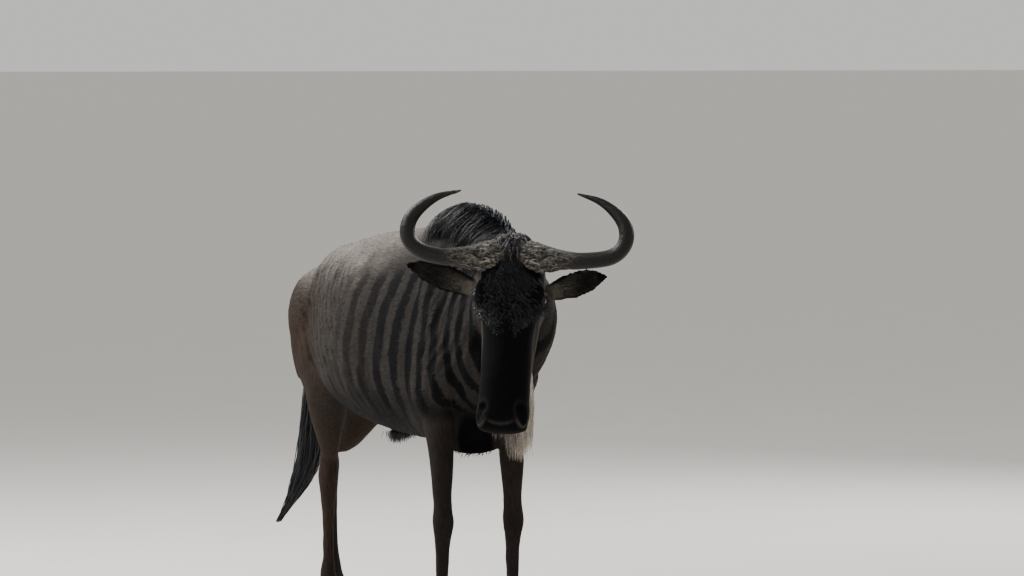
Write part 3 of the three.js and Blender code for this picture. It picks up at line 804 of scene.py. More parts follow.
def bake_place(points):
    """Places on an unwrap of the skin: rings round the trunk, the head, each ear, each leg and the tail."""
    x, y, z = points.T
    h, c = to_head(points), to_crown(points)
    head, ears, fore, hind, tail = regions(points)

    def turn(a, b):
        """The direction of a and b as a share of a full turn."""
        return np.arctan2(a, b) / (2 * math.pi) + 0.5

    front = fore > hind
    leg = np.where(front, 0, 1) + np.where(y > 0, 2, 0)
    round_leg = turn(y - np.sign(y) * 100, x - np.where(front, 0, -1100)) * 0.24 + leg / 4
    cells = [  # places across and along, and the cell's left, low, right and high edges
        (turn(y, z - BARREL_MID), (x + 1200) / 1700, (0.0, 0.34, 1.0, 1.0)),
        (turn(h[:, 1], h[:, 2] + 95), (h[:, 0] + 60) / 620, (0.0, 0.17, 0.5, 0.33)),
        (turn(c[:, 0] + 100, c[:, 2] + 90), (np.abs(c[:, 1]) - 60) / 260, (0.5, 0.17, 0.75, 0.33)),
        (round_leg, z / 1000, (0.0, 0.0, 1.0, 0.16)),
        (turn(x + 1180, y + 30), z / 1100, (0.76, 0.17, 1.0, 0.33)),
    ]
    part = np.argmax(columns(0.5, head, ears, np.maximum(fore, hind), tail), axis=1)
    out = np.zeros((len(x), 2))
    for i, (u, v, (left, low, right, high)) in enumerate(cells):
        here = part == i
        out[here, 0] = left + np.clip(u[here], 0, 1) * (right - left)
        out[here, 1] = low + np.clip(v[here], 0, 1) * (high - low)
    return out


# ---------------------------------------------------------------- materials


def linear(hex_colour):
    """An sRGB hex colour as linear red, green, blue and alpha."""
    values = [int(hex_colour[i : i + 2], 16) / 255 for i in (1, 3, 5)]
    return tuple(v / 12.92 if v <= 0.04045 else ((v + 0.055) / 1.055) ** 2.4 for v in values) + (1.0,)


def add(tree, kind, inputs=None, **settings):
    """Adds a node with its settings. An input given as a socket, or as a node for its first output, is
    linked, and any other is set."""
    made = tree.nodes.new("ShaderNode" + kind)
    for key, value in settings.items():
        setattr(made, key, value)
    for key, value in (inputs or {}).items():
        if isinstance(value, bpy.types.Node):
            value = value.outputs[0]
        if isinstance(value, bpy.types.NodeSocket):
            tree.links.new(value, made.inputs[key])
        else:
            made.inputs[key].default_value = value
    return made


def fresh(name):
    """A new material and its empty tree."""
    material = bpy.data.materials.new(name)
    material.use_nodes = True
    material.node_tree.nodes.clear()
    return material, material.node_tree


# Kinds of hair, all keratin: width and depth of its streaks in metres, roughness, gloss, and weight and
# colour of the sheen. Single hairs are too fine to show, so the streaks are as wide as a lick of hair
HAIR = {
    # Seen between the tufts as the coat's own shade, so it is quite matt
    "Short hair over hide, lying flat": (0.0045, 0.0016, 0.8, 0.07, 0.0, "#ffffff"),
    # Matt, with a trace of light on the ends
    "Short hair tufts, combed back": (0.004, 0.001, 0.75, 0.1, 0.01, "#e1e7f3"),
    # Coarse and greasy: black with a soft blue gloss along each lock
    "Long mane hair, coarse and glossy": (0.004, 0.001, 0.42, 0.24, 0.045, "#7cb3f9"),
    # The glossiest hair, so that its curls show on the black face
    "Forehead hair, curled and glossy": (0.004, 0.001, 0.32, 0.35, 0.05, "#95bcf9"),
    # Silky and pale, light at its edges
    "Long beard hair, fine": (0.004, 0.001, 0.5, 0.3, 0.15, "#f3f6ff"),
    # Black strings with a narrow gloss
    "Tail hair, long and coarse": (0.004, 0.001, 0.4, 0.3, 0.05, "#a0c4f9"),
    # Downy, hardly glossy
    "Ear lining hair, soft": (0.004, 0.001, 0.6, 0.15, 0.02, "#f3f6ff"),
    # Nearly bare, so it is smoother and a little wet
    "Bare lid skin, black": (0.003, 0.0008, 0.5, 0.3, 0.0, "#ffffff"),
}


def coat_material(name, colours):
    """Animal hair over skin: keratin, matt where short. The markings choose between five coat colours."""
    grain, depth, roughness, gloss, sheen, tint = HAIR[name]
    material, tree = fresh(name)
    mark = add(tree, "Attribute", attribute_name="marks")
    share = add(tree, "SeparateColor", {0: mark})
    # The marks' alpha mixes in the paler top colour of the back, which is partly painted top light
    colour = add(
        tree, "Mix", {0: mark.outputs["Alpha"], 6: colours.grey, 7: colours.bleached_and_lit}, data_type="RGBA"
    ).outputs[2]
    for channel, chosen in (("Blue", colours.brown), ("Green", colours.pale), ("Red", colours.black)):
        mixed = add(tree, "Mix", {0: share.outputs[channel], 6: colour, 7: chosen}, data_type="RGBA")
        colour = mixed.outputs[2]
    place = add(tree, "TexCoord").outputs["Object"]
    # Streaks as wide as a lick of hair and five to ten times as long: one set along the trunk, and one
    # that runs down the legs and the face
    streaks = [
        add(
            tree,
            "TexNoise",
            {
                "Vector": add(tree, "Mapping", {"Vector": place, "Scale": squeeze}),
                "Scale": 1 / grain,
                "Detail": 4.0,
                "Roughness": 0.65,
            },
        )
        for squeeze in ((0.12, 1, 1), (1, 1, 0.16))
    ]
    upright = add(tree, "Attribute", attribute_name="upright").outputs["Fac"]
    hair = add(tree, "Mix", {0: upright, 2: streaks[0], 3: streaks[1]})
    contrast = {"Value": hair, "From Min": 0.3, "From Max": 0.72, "To Min": 0.55, "To Max": 1.35}
    patches = add(tree, "TexNoise", {"Vector": place, "Scale": 9.0, "Detail": 3.0})
    broad = {"Value": patches, "From Min": 0.3, "From Max": 0.7, "To Min": 0.82, "To Max": 1.15}
    tone = {0: add(tree, "MapRange", contrast), 1: add(tree, "MapRange", broad)}
    tone = add(tree, "Math", tone, operation="MULTIPLY")
    surface = {
        "Base Color": add(tree, "VectorMath", {0: colour, "Scale": tone}, operation="SCALE"),
        "Roughness": roughness,
        "IOR": 1.45,
        "Specular IOR Level": gloss,
        "Normal": add(tree, "Bump", {"Height": hair, "Strength": 0.8, "Distance": depth}),
        "Sheen Weight": sheen,
        "Sheen Roughness": 0.4,
        "Sheen Tint": linear(tint),
    }
    add(tree, "OutputMaterial", {0: add(tree, "BsdfPrincipled", surface)})
    return material


def horn_material(colours):
    """Horn keratin, grown in layers: rough, grey and cracked on the boss, worn dark and smooth beyond."""
    material, tree = fresh("Horn keratin, grown, worn smooth")
    mark = add(tree, "Attribute", attribute_name="marks")
    far = add(tree, "SeparateColor", {0: mark}).outputs["Red"]
    place = add(tree, "Attribute", attribute_name="grown").outputs["Vector"]
    # Wrinkles about 8 mm apart that run along the boss, with 1 mm grit in them
    wrinkle = {"Vector": place, "Scale": 130.0, "Detail": 7.0, "Roughness": 0.7, "Distortion": 1.2}
    crack = {"Value": add(tree, "TexNoise", wrinkle), "From Min": 0.43, "From Max": 0.61}
    crack = add(tree, "MapRange", crack)
    boss = add(tree, "Mix", {0: crack, 6: colours.horn_dark, 7: colours.horn_grey}, data_type="RGBA")
    colour = add(tree, "Mix", {0: far, 6: boss.outputs[2], 7: colours.horn_dark}, data_type="RGBA")
    height = add(tree, "MapRange", {"Value": far, "To Min": 1.0, "To Max": 0.12})
    raised = add(tree, "Math", {0: crack, 1: height}, operation="MULTIPLY")
    surface = {
        "Base Color": colour.outputs[2],
        "Roughness": add(tree, "MapRange", {"Value": far, "To Min": 0.75, "To Max": 0.4}),
        "IOR": 1.54,
        "Specular IOR Level": 0.22,
        "Normal": add(tree, "Bump", {"Height": raised, "Strength": 1.0, "Distance": 0.004}),
    }
    add(tree, "OutputMaterial", {0: add(tree, "BsdfPrincipled", surface)})
    return material


def hoof_material(colours):
    """Hoof keratin, grown downwards: near black, with upright grain and faint rings about 10 mm apart."""
    material, tree = fresh("Hoof keratin, grown, scuffed")
    place = add(tree, "TexCoord").outputs["Object"]
    grain = add(tree, "Mapping", {"Vector": place, "Scale": (1, 1, 0.08)})
    fibres = add(tree, "TexNoise", {"Vector": grain, "Scale": 400.0, "Detail": 3.0})
    rings = {"Vector": place, "Scale": 32.0, "Distortion": 2.0, "Detail": 2.0}
    rings = add(tree, "TexWave", rings, bands_direction="Z").outputs["Fac"]
    grown = add(tree, "Math", {0: fibres, 1: rings}, operation="ADD")
    tone = add(tree, "MapRange", {"Value": grown, "From Max": 2.0})
    colour = add(tree, "Mix", {0: tone, 6: colours.hoof, 7: colours.dust}, data_type="RGBA")
    surface = {
        "Base Color": colour.outputs[2],
        "Roughness": 0.5,
        "IOR": 1.54,
        "Specular IOR Level": 0.3,
        "Normal": add(tree, "Bump", {"Height": grown, "Strength": 0.5, "Distance": 0.0015}),
    }
    add(tree, "OutputMaterial", {0: add(tree, "BsdfPrincipled", surface)})
    return material


def eye_material(colours):
    """A wet cornea over a dark brown iris: near black with a sharp glint."""
    material, tree = fresh("Eye, wet cornea over dark iris")
    place = add(tree, "TexCoord").outputs["Object"]
    rays = add(tree, "TexNoise", {"Vector": place, "Scale": 300.0, "Detail": 2.0})
    colour = add(tree, "Mix", {0: rays, 6: colours.pupil, 7: colours.iris}, data_type="RGBA")
    surface = {
        "Base Color": colour.outputs[2],
        "Roughness": 0.12,
        "IOR": 1.376,
        "Coat Weight": 1.0,
        "Coat Roughness": 0.03,
    }
    add(tree, "OutputMaterial", {0: add(tree, "BsdfPrincipled", surface)})
    return material


def floor_material(colours):
    """Matt painted board: pale, with a barely seen mottle."""
    material, tree = fresh("Painted board, rolled, matt")
    place = add(tree, "TexCoord").outputs["Object"]
    mottle = add(tree, "TexNoise", {"Vector": place, "Scale": 3.0, "Detail": 2.0})
    colour = add(tree, "Mix", {0: mottle, 6: colours.floor, 7: colours.floor_light}, data_type="RGBA")
    surface = add(tree, "BsdfPrincipled", {"Base Color": colour.outputs[2], "Roughness": 0.9})
    add(tree, "OutputMaterial", {0: surface})
    return material


# ---------------------------------------------------------------- settings


def colour_setting(name, text, hex_colour):
    return bpy.props.FloatVectorProperty(
        name=name, description=text, subtype="COLOR", size=4, min=0.0, max=1.0, default=linear(hex_colour)
    )


def length_setting(name, text, length, low, high):
    """A length in metres, within its limits."""
    return bpy.props.FloatProperty(
        name=name, description=text, default=length, min=low, max=high, unit="LENGTH"
    )


def count_setting(name, text, count, most):
    """A number of tufts or locks, kept under what a piece may hold."""
    return bpy.props.IntProperty(name=name, description=text, default=count, min=100, max=most)


class BullColours(bpy.types.PropertyGroup):
    """Colours of the coat, horns, hooves, eyes and floor."""

    grey: colour_setting("Grey coat", "Ground colour of the flanks and neck", "#36322f")
    # Paler top of the back and croup: partly hair paled by the sun, partly painted top light
    bleached_and_lit: colour_setting("Bleached coat", "Sun-bleached hair of the back and croup", "#76706a")
    brown: colour_setting("Brown coat", "Legs, haunches, throat and chin", "#33271f")
    pale: colour_setting("Pale hair", "Beard, ear lining and cheeks", "#c6bcad")
    black: colour_setting("Black hair", "Stripes, face, mane and tail", "#070709")
    horn_grey: colour_setting("Horn boss", "Rough grey horn near the head", "#9a938a")
    horn_dark: colour_setting("Horn", "Smooth dark horn further out", "#120f0d")
    hoof: colour_setting("Hoof", "Hoof horn", "#0b0a09")
    dust: colour_setting("Hoof scuffs", "Lighter grain of the hooves", "#27231f")
    pupil: colour_setting("Pupil", "Middle of the eye", "#050403")
    iris: colour_setting("Iris", "Iris of the eye", "#24150c")
    floor: colour_setting("Floor", "Studio floor", "#d6d3cd")
    floor_light: colour_setting("Floor mottle", "Lighter patches of the floor", "#dcd9d4")


class BullSizes(bpy.types.PropertyGroup):
    """Sizes and numbers of the skin and the hair."""

    grid: length_setting("Skin grid", "Spacing of the skin's mesh", 0.0052, 0.003, 0.02)
    coat_depth: length_setting("Coat depth", "How far the skin lies inside the coat", 0.002, 0.0, 0.02)
    body_tufts: count_setting("Body tufts", "Tufts on each half of the trunk", 13500, 14000)
    front_tufts: count_setting("Front tufts", "Tufts on the neck, head and ears", 13500, 14000)
    leg_tufts: count_setting("Leg tufts", "Tufts on the legs and dock", 9000, 14000)
    mane_locks: count_setting("Mane locks", "Locks of the mane", 3200, 3300)
    mane_rise: length_setting("Mane rise", "Height of the mane over the withers", 0.084, 0.0, 0.2)
    forelock_locks: count_setting("Forelock locks", "Locks on the forehead", 2600, 3500)
    beard_locks: count_setting("Beard locks", "Locks of the beard", 1700, 3500)
    beard_length: length_setting("Beard length", "Length of the beard", 0.34, 0.05, 0.5)
    tail_locks: count_setting("Tail locks", "Locks of the tail tuft", 2200, 3500)


# ---------------------------------------------------------------- pieces

FLESH = ["head", "neck", "torso", "tail", "ear_left", "ear_right"]
FLESH += ["foreleg_left", "foreleg_right", "hindleg_left", "hindleg_right"]


# Muscles and bones that show under the skin: place, size and height
BUMPS = [
    ((58, 150, 790), (40, 60, 52), 8),
    ((-36, 160, 716), (44, 60, 50), 7),
    ((-100, 178, 820), (34, 60, 130), -9),
    ((-140, 150, 690), (60, 60, 40), -7),
    ((-60, 120, 1080), (22, 60, 100), 5),
    ((-852, 190, 700), (60, 60, 70), 8),
    ((-790, 170, 830), (60, 70, 90), -10),
    ((-1010, 170, 860), (50, 70, 160), 5),
    ((-1130, 90, 900), (40, 60, 90), 5),
    ((-905, 130, 1070), (80, 50, 40), 4),
    ((-700, 120, 1150), (160, 60, 30), -5),
]


def relief(points, normals):
    """How far the skin stands out, in millimetres: ribs, muscles, tendons, folds, nostrils and mouth."""
    x, y, z = points.T
    side = np.abs(y)
    h = to_head(points)
    along, across, proud = h[:, 0], np.abs(h[:, 1]), h[:, 2]
    head, ears, fore, _, tail = regions(points)
    body = (1 - head) * (1 - ears) * (1 - tail)
    flank = body * smooth(0.35, 0.8, np.abs(normals[:, 1]))
    rib = np.cos(2 * math.pi * (x + 0.28 * (z - BARREL_MID)) / 52)
    out = 1.3 * rib * flank * smooth(-760, -620, x) * smooth(-130, -260, x)
    out = out * smooth(620, 700, z) * smooth(1080, 980, z)
    fold = np.cos(2 * math.pi * (x - 0.55 * (z - BARREL_MID) + 18 * noise(points, 90, 11)) / 44)
    out = out + 1.6 * fold * flank * smooth(-60, 60, x) * smooth(360, 300, x) * smooth(650, 720, z)
    for (cx, cy, cz), (sx, sy, sz), height in BUMPS:
        near = np.exp(-(((x - cx) / sx) ** 2 + ((side - cy) / sy) ** 2 + ((z - cz) / sz) ** 2))
        out = out + height * body * near
    # Grooves between bone and tendon on the cannons
    cannon = smooth(330, 300, z) * smooth(120, 150, z)
    out = out - 2.2 * fore * cannon * np.exp(-(((x + 6) / 6) ** 2))
    # Face: hollow between brow and cheek, ridge of the nose, mouth and nostrils
    hollow = np.exp(-(((along - 235) / 70) ** 2 + ((proud + 78) / 26) ** 2))
    out = out - 6 * head * hollow * smooth(40, 60, across)
    ridge = 4 * head * np.exp(-((across / 24) ** 2)) * smooth(120, 200, along) * smooth(420, 340, along)
    out = out + ridge * smooth(-60, -20, proud)
    out = out - 5 * head * np.exp(-(((proud + 121) / 5) ** 2)) * smooth(385, 420, along)
    out = out - 17 * head * np.clip(nostril(h), 0, 1) ** 0.7
    out = out + 2.0 * fore * smooth(150, 220, z)
    return out + 1.2 * noise(points, 34, 13) * (1 - ears) * (1 - 0.5 * head)


class WILDEBEEST_OT_skin(bpy.types.Operator):
    """Make one skin round the trunk, neck, head, ears, legs and dock"""

    bl_idname = "wildebeest.skin"
    bl_label = "Skin"

    def execute(self, context):
        sizes, colours = context.scene.bull_sizes, context.scene.bull_colours
        depth = sizes.coat_depth / MM
        hind = [hindleg(*HIND["left"], depth), mirrored(hindleg(*HIND["right"], depth))]
        legs = [*both(foreleg(depth)), *hind]
        ears = [placed(on_side(ear(tip, 0.5 * depth), s), from_crown) for tip, (_, s) in zip(EAR_TIPS, SIDES)]
        spur = form([(-14, 0, 96, 9, 9), (-36, 0, 84, 9, 9), (-45, 0, 68, 6, 6)], across=RIGHT, domes=(0, 3))
        spurs = [
            (spur[0] + [x, y + 0.7 * s * (wide / 4 + CLEFT / 2), 0], spur[1])
            for x, y, wide, _ in FEET.values()
            for s in (-1, 1)
        ]
        shapes = [*trunk(depth), neck(depth), *skull(depth), *ears, dock(depth), *legs, *spurs]
        rough = piece("skin_forms", joined(shapes), [], None)
        fuse = rough.modifiers.new("Fuse", "REMESH")
        fuse.mode = "VOXEL"
        fuse.voxel_size = sizes.grid
        mesh = bpy.data.meshes.new_from_object(rough.evaluated_get(context.evaluated_depsgraph_get()))
        bpy.data.objects.remove(rough)
        points, normals = read(mesh)
        head, ears, *_ = regions(points)
        hold = 1 - 0.85 * ears - 0.45 * head
        write(mesh, relaxed(points, pulled(mesh.edges, "vertices", 2), SMOOTHING, hold))
        points, normals = read(mesh)
        points = points + normals * relief(points, normals)[:, None]
        points[:, 2] = np.maximum(points[:, 2], SKIN_LOWEST)
        write(mesh, points)
        skin = bpy.data.objects.new("skin", mesh)
        context.scene.collection.objects.link(skin)
        # Thinned least on the head, whose relief is finest
        head = regions(points)[0]
        group = skin.vertex_groups.new(name="coarse")
        for level in range(5):
            here = np.nonzero(np.round((1 - head) * 4) == level)[0]
            group.add(here.tolist(), level / 4, "REPLACE")
        thin = skin.modifiers.new("Thin", "DECIMATE")
        thin.ratio = min(1.0, SKIN_TRIANGLES / sum(len(p.vertices) - 2 for p in mesh.polygons))
        thin.vertex_group = group.name
        thin.use_collapse_triangulate = True
        final = bpy.data.meshes.new_from_object(skin.evaluated_get(context.evaluated_depsgraph_get()))
        skin.modifiers.clear()
        skin.vertex_groups.clear()
        skin.data = final
        bpy.data.meshes.remove(mesh)
        final.shade_smooth()
        final.materials.clear()
        final.materials.append(coat_material("Short hair over hide, lying flat", colours))
        points, normals = read(final)
        dress(skin, marks(points, normals), 1)
        head, ears, fore, hind, tail = regions(points)
        upright = final.attributes.new("upright", "FLOAT", "POINT")
        upright.data.foreach_set("value", packed(np.clip(head + ears + fore + hind + tail, 0, 1)))
        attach(skin, "root")
        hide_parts(*FLESH)
        return {"FINISHED"}


def rays(roots, way, length, rows):
    """Straight paths of so many points from their roots."""
    s = np.linspace(0, 1, rows)
    return roots[:, None] + way[:, None] * (s * length[:, None])[..., None]


def tuft_paths(points, normals, length, rng):
    """Short curved paths that leave the skin and lie along the coat, and the way they point."""
    way = lie(points) + 0.16 * rng.normal(size=points.shape)
    way = unit(way - normals * np.sum(way * normals, axis=1, keepdims=True))
    t = np.linspace(0, 1, 3)
    out = TUFT_RISE * np.sin(t * math.pi * 0.8) * (1 + 0.25 * rng.normal(size=(len(points), 1)))
    rise = normals[:, None] * (out * length[:, None])[..., None]
    return rays(points - normals * TUFT_ROOT, way, length, 3) + rise, way


class WILDEBEEST_OT_coat(bpy.types.Operator):
    """Grow short tufts over the whole skin, along the lie of the coat"""

    bl_idname = "wildebeest.coat"
    bl_label = "Short coat"

    def execute(self, context):
        sizes, colours = context.scene.bull_sizes, context.scene.bull_colours
        mesh = bpy.data.objects["skin"].data
        mesh.calc_loop_triangles()
        tri = pulled(mesh.loop_triangles, "vertices", 3)
        points, normals = read(mesh)
        corner = points[tri]
        centre = corner.mean(1)
        edges = corner[:, 1] - corner[:, 0], corner[:, 2] - corner[:, 0]
        area = 0.5 * np.linalg.norm(np.cross(*edges), axis=1)
        head, ears, fore, hind, tail = regions(centre)
        low = np.maximum.reduce([fore, hind, tail]) > 0.5
        front = (centre[:, 0] > COAT_FRONT) | (head > 0.3)
        ribs = centre[:, 0] > COAT_RIBS
        bare = centre[:, 2] < COAT_LOWEST
        material = coat_material("Short hair tufts, combed back", colours)
        for name, chosen, count, seed in (
            ("coat_ribs", ~low & ~front & ribs, sizes.body_tufts, 21),
            ("coat_quarters", ~low & ~front & ~ribs, sizes.body_tufts, 24),
            ("coat_front", ~low & front, sizes.front_tufts, 22),
            ("coat_legs", low & ~bare, sizes.leg_tufts, 23),
        ):
            rng = np.random.default_rng(seed)
            weight = np.where(chosen, area * (1 + 1.6 * head + 1.5 * ears), 0)
            pick = np.searchsorted(np.cumsum(weight) / weight.sum(), rng.random(count))
            share = rng.dirichlet((1, 1, 1), count)
            at = np.sum(corner[pick] * share[..., None], axis=1)
            out = unit(np.sum(normals[tri[pick]] * share[..., None], axis=1))
            face, lobe, fo, hi, ta = regions(at)
            length = 17 - 10 * face - 12 * lobe - 8 * np.maximum.reduce([fo, hi]) - 4 * ta
            belly = smooth(-0.5, -0.9, out[:, 2]) * (1 - face) * (1 - np.maximum(fo, hi))
            length = (length + 8 * belly) * rng.uniform(0.7, 1.25, count)
            paths, way = tuft_paths(at, out, length, rng)
            width = (0.55 + 0.042 * length)[:, None] * np.array([0.8, 1.0, 0.12])
            values = marks(at, out) + rng.normal(size=(count, 1)) * [0.06, 0.02, 0.03, 0.1]
            tufts = strands(paths, width, 0.35 * width, np.cross(way, out), corners=3)
            obj = piece(name, tufts, [], material)
            dress(obj, np.clip(values, 0, 1), 9, bake_place(at))
        return {"FINISHED"}


def lock_piece(name, paths, half, across, values, roots, material):
    """Long locks as one piece. Half is each lock's greatest half width, across lies along its flat side."""
    count, rows = paths.shape[:2]
    t = np.linspace(0, 1, rows)
    width = half[:, None] * np.clip(0.72 + 0.9 * t - 1.55 * t**2, 0.07, 1)
    across = np.broadcast_to(across, (count, 3))
    shape = strands(paths, width, np.maximum(LOCK_FLATNESS * width, 0.25), across)
    obj = piece(name, shape, [], material)
    dress(obj, np.clip(values, 0, 1), rows * 4, roots)


def wavy(paths, amount, rng, turns):
    """Paths with a slow wave that grows towards their tips."""
    count, rows = paths.shape[:2]
    t = np.linspace(0, 1, rows)
    a, b = rng.random((2, count, 1)) * 2 * math.pi
    wave = columns(np.sin(turns * 2 * math.pi * t + a), np.cos(turns * 2 * math.pi * t + b), 0.0)
    return paths + wave * (amount[:, None] * t)[..., None]


def grow_mane(sizes, colours):
    """Locks that rise from the crest and fall to both sides, most of them to the right."""
    rng = np.random.default_rng(31)
    count = sizes.mane_locks
    t = rng.random(count)
    root = spline(CREST, t)
    off = rng.normal(size=count) * 13
    root = root + columns(0.0, off, -0.02 * off**2 - 8)
    side = np.where(rng.random(count) + 0.012 * off < 0.62, -1.0, 1.0)
    rise = sizes.mane_rise / MM * (0.16 + 0.84 * np.sin(math.pi * (0.08 + 0.86 * t)))
    rise = rise * rng.uniform(0.55, 1.0, count)
    reach = np.where(side < 0, 92 - 40 * smooth(0.22, 0, t), 52 - 26 * t) * rng.uniform(0.5, 1.05, count)
    brow = np.where(side < 0, 0.75, 0.5 - 0.3 * t)
    drop = 80 * rng.uniform(0.6, 1.1, count)
    guide = [
        columns(0.0, 0 * t, -10.0),
        columns(-6.0, 0.22 * reach * side, 0.94 * rise),
        columns(-20.0, 0.6 * reach * side, brow * rise),
        columns(-34.0, 0.92 * reach * side, brow * rise - 0.45 * drop),
        columns(-40.0, 1.02 * reach * side, brow * rise - drop),
    ]
    basis = spline(np.eye(5), np.linspace(0, 1, LOCK_ROWS), even=True)
    paths = root[:, None] + np.einsum("kg,ngc->nkc", basis, np.stack(guide, 1))
    paths = wavy(paths, rng.uniform(1, 5, count), rng, 1.0)
    # A painted highlight: a lighter grey-brown band on the locks in front of the withers, where light catches
    # them
    grey = np.exp(-(((root[:, 0] - 20) / 30) ** 2)) * (side < 0) * rng.uniform(0.4, 1, count)
    values = columns(0.97 - 0.7 * grey + 0.03 * rng.normal(size=count), 0.0, 0.2, 0.3 * grey)
    roots = columns(t, np.clip(off / 90 + 0.5, 0, 1))
    half = rng.uniform(1.4, 4.2, count)
    material = coat_material("Long mane hair, coarse and glossy", colours)
    lock_piece("mane", paths, half, FORWARD, values, roots, material)


def grow_forelock(sizes, colours):
    """Curls on the forehead, and the tuft that falls between the horns."""
    count = sizes.forelock_locks
    rng = np.random.default_rng(32)
    along = -54 + 300 * rng.random(count) ** 1.3
    half = np.interp(along, [-54, 42, 60, 100, 140, 180, 246], [20, 17, 52, 84, 90, 72, 26])
    aside = np.clip(rng.uniform(-1.05, 1.05, count), -1, 1) * half
    middle, tall, wide = (
        np.interp(along, [-56, -30, 30, 100, 165, 250], row)
        for row in ([-92, -92, -92, -92, -88, -84], [30, 68, 90, 92, 82, 70], [40, 68, 91, 95, 89, 82])
    )
    share = np.minimum(np.abs(aside) / wide, 0.97)
    at = columns(along, aside, middle + tall * (1 - share**2.3) ** (1 / 2.3) - 4)
    length = np.interp(along, [-54, 40, 110, 180, 220], [96, 62, 44, 28, 14]) * rng.uniform(0.6, 1.1, count)
    lift = np.interp(along, [-54, -10, 60, 120, 220], [1.1, 0.6, 0.75, 0.8, 0.35])
    lift = lift + 0.2 * rng.normal(size=count)
    out = unit(columns(0 * along, aside / wide * 0.8, 1 - share))
    up = smooth(0, -40, along)
    way = columns(1 - 1.7 * up, (0.3 - 0.18 * up) * rng.normal(size=count), 0.0)
    way = unit(way + out * lift[:, None])
    paths = rays(at, way, length, LOCK_ROWS)
    s = np.linspace(0, 1, LOCK_ROWS)
    paths[..., 2] -= 0.55 * length[:, None] * s**2
    paths[..., 0] += (0.9 * up * length)[:, None] * s**2
    curl = rng.uniform(4, 9, count) * np.interp(along, [-26, 60, 140, 220], [0.5, 1, 1, 0.4])
    # Neighbours share the turn of their curl, so that they read as clumps
    clump = noise(columns(along, aside, 0.0), 17, 73)
    turns = s * (1.3 + 0.5 * clump[:, None]) + 2.2 * clump[:, None] + 0.06 * rng.normal(size=(count, 1))
    spin = 2 * math.pi * turns
    paths[..., 1] += curl[:, None] * np.sin(spin) * s**0.5
    paths[..., 2] += curl[:, None] * np.cos(spin) * s**0.5
    # Painted highlights: the tuft between the horns and the lighter clumps of curls get paler, greyer hair
    # where light catches them
    between = smooth(30, -10, along) * rng.random(count) ** 2
    clump_highlight = 0.35 * smooth(0.15, 0.7, clump) * smooth(20, 60, along)
    dark = 0.97 - 0.3 * between - clump_highlight + 0.03 * rng.normal(size=count)
    values = columns(dark, 0.5 * between, 0.0, 0.0)
    roots = columns((along + 60) / 300, (aside + 100) / 200)
    thick = rng.uniform(1.3, 3.2, count)
    material = coat_material("Forehead hair, curled and glossy", colours)
    paths = from_head(paths)
    lock_piece("forelock", paths, thick, HEAD_TURN[:, 1], values, roots, material)


class WILDEBEEST_OT_mane(bpy.types.Operator):
    """Grow the mane along the crest and the curls of the forehead"""

    bl_idname = "wildebeest.mane"
    bl_label = "Mane and forelock"

    def execute(self, context):
        grow_mane(context.scene.bull_sizes, context.scene.bull_colours)
        grow_forelock(context.scene.bull_sizes, context.scene.bull_colours)
        return {"FINISHED"}


def grow_beard(sizes, material):
    """Hair that hangs from the throat and ends in ragged points."""
    rng = np.random.default_rng(41)
    count = sizes.beard_locks
    t = rng.random(count)
    side = rng.uniform(-1, 1, count)
    root = spline(THROAT, t) + columns(0.0, 10 + 32 * side, 34 + 14 * np.abs(side))
    length = sizes.beard_length / MM * (0.66 + 0.4 * np.sin(math.pi * (0.1 + 0.8 * t)))
    length = length * rng.uniform(0.5, 1.04, count)
    s = np.linspace(0, 1, LOCK_ROWS)
    spread = columns(34 * (2 * t - 1) + 10 * rng.normal(size=count), 4 * side, -length)
    paths = root[:, None] + spread[:, None] * s[:, None]
    paths[..., 1] += (8 * side)[:, None] * np.sin(math.pi * s)
    paths = wavy(paths, rng.uniform(2, 7, count), rng, 1.2)
    across = unit(columns(0.6, 0.8 * np.sign(side), 0.0))
    light = np.clip(0.75 + 0.4 * side + 0.2 * rng.normal(size=count), 0, 1)
    values = columns(0.5 * (1 - light), light, 0.4, 0.0)
    half = rng.uniform(1.8, 4.5, count)
    lock_piece("beard", paths, half, across, values, columns(t, side * 0.5 + 0.5), material)


def grow_chin(material):
    """Short hair under the lower lip."""
    rng = np.random.default_rng(42)
    count = CHIN_LOCKS
    along, aside = rng.uniform(360, 492, count), rng.uniform(-1, 1, count)
    at = columns(along, aside * 42, -150 + 10 * aside**2)
    length = rng.uniform(14, 42, count)
    way = unit(columns(0.8 + 0.25 * rng.normal(size=count), 0.2 * aside, -0.6))
    paths = from_head(rays(at, way, length, 5))
    values = columns(0.2 + 0.15 * rng.normal(size=count), 0.22, 0.8, 0.0)
    roots = columns((along - 350) / 160, aside * 0.5 + 0.5)
    half = rng.uniform(0.4, 1.0, count)
    lock_piece("chin_hair", paths, half, HEAD_TURN[:, 1], values, roots, material)


def grow_belly(material):
    """A short tuft under the belly."""
    rng = np.random.default_rng(43)
    count = BELLY_LOCKS
    x = rng.uniform(-640, -520, count)
    at = columns(x, 12 * rng.normal(size=count), 578.0)
    length = rng.uniform(18, 40, count) * np.interp(x, [-640, -600, -520], [1, 1, 0.4])
    way = columns(-0.15 + 0.2 * rng.normal(size=count), 0.15 * rng.normal(size=count), -1.0)
    paths = rays(at, unit(way), length, 5)
    roots = columns((x + 640) / 120, at[:, 1] / 100 + 0.5)
    half = rng.uniform(1.0, 2.4, count)
    values = columns(0.93 + 0 * x, 0.0, 0.2, 0.0)
    lock_piece("belly_hair", paths, half, FORWARD, values, roots, material)


class WILDEBEEST_OT_beard(bpy.types.Operator):
    """Hang the beard from the throat, and the short hair of the chin and belly"""

    bl_idname = "wildebeest.beard"
    bl_label = "Beard, chin and belly"

    def execute(self, context):
        material = coat_material("Long beard hair, fine", context.scene.bull_colours)
        grow_beard(context.scene.bull_sizes, material)
        grow_chin(material)
        grow_belly(material)
        return {"FINISHED"}


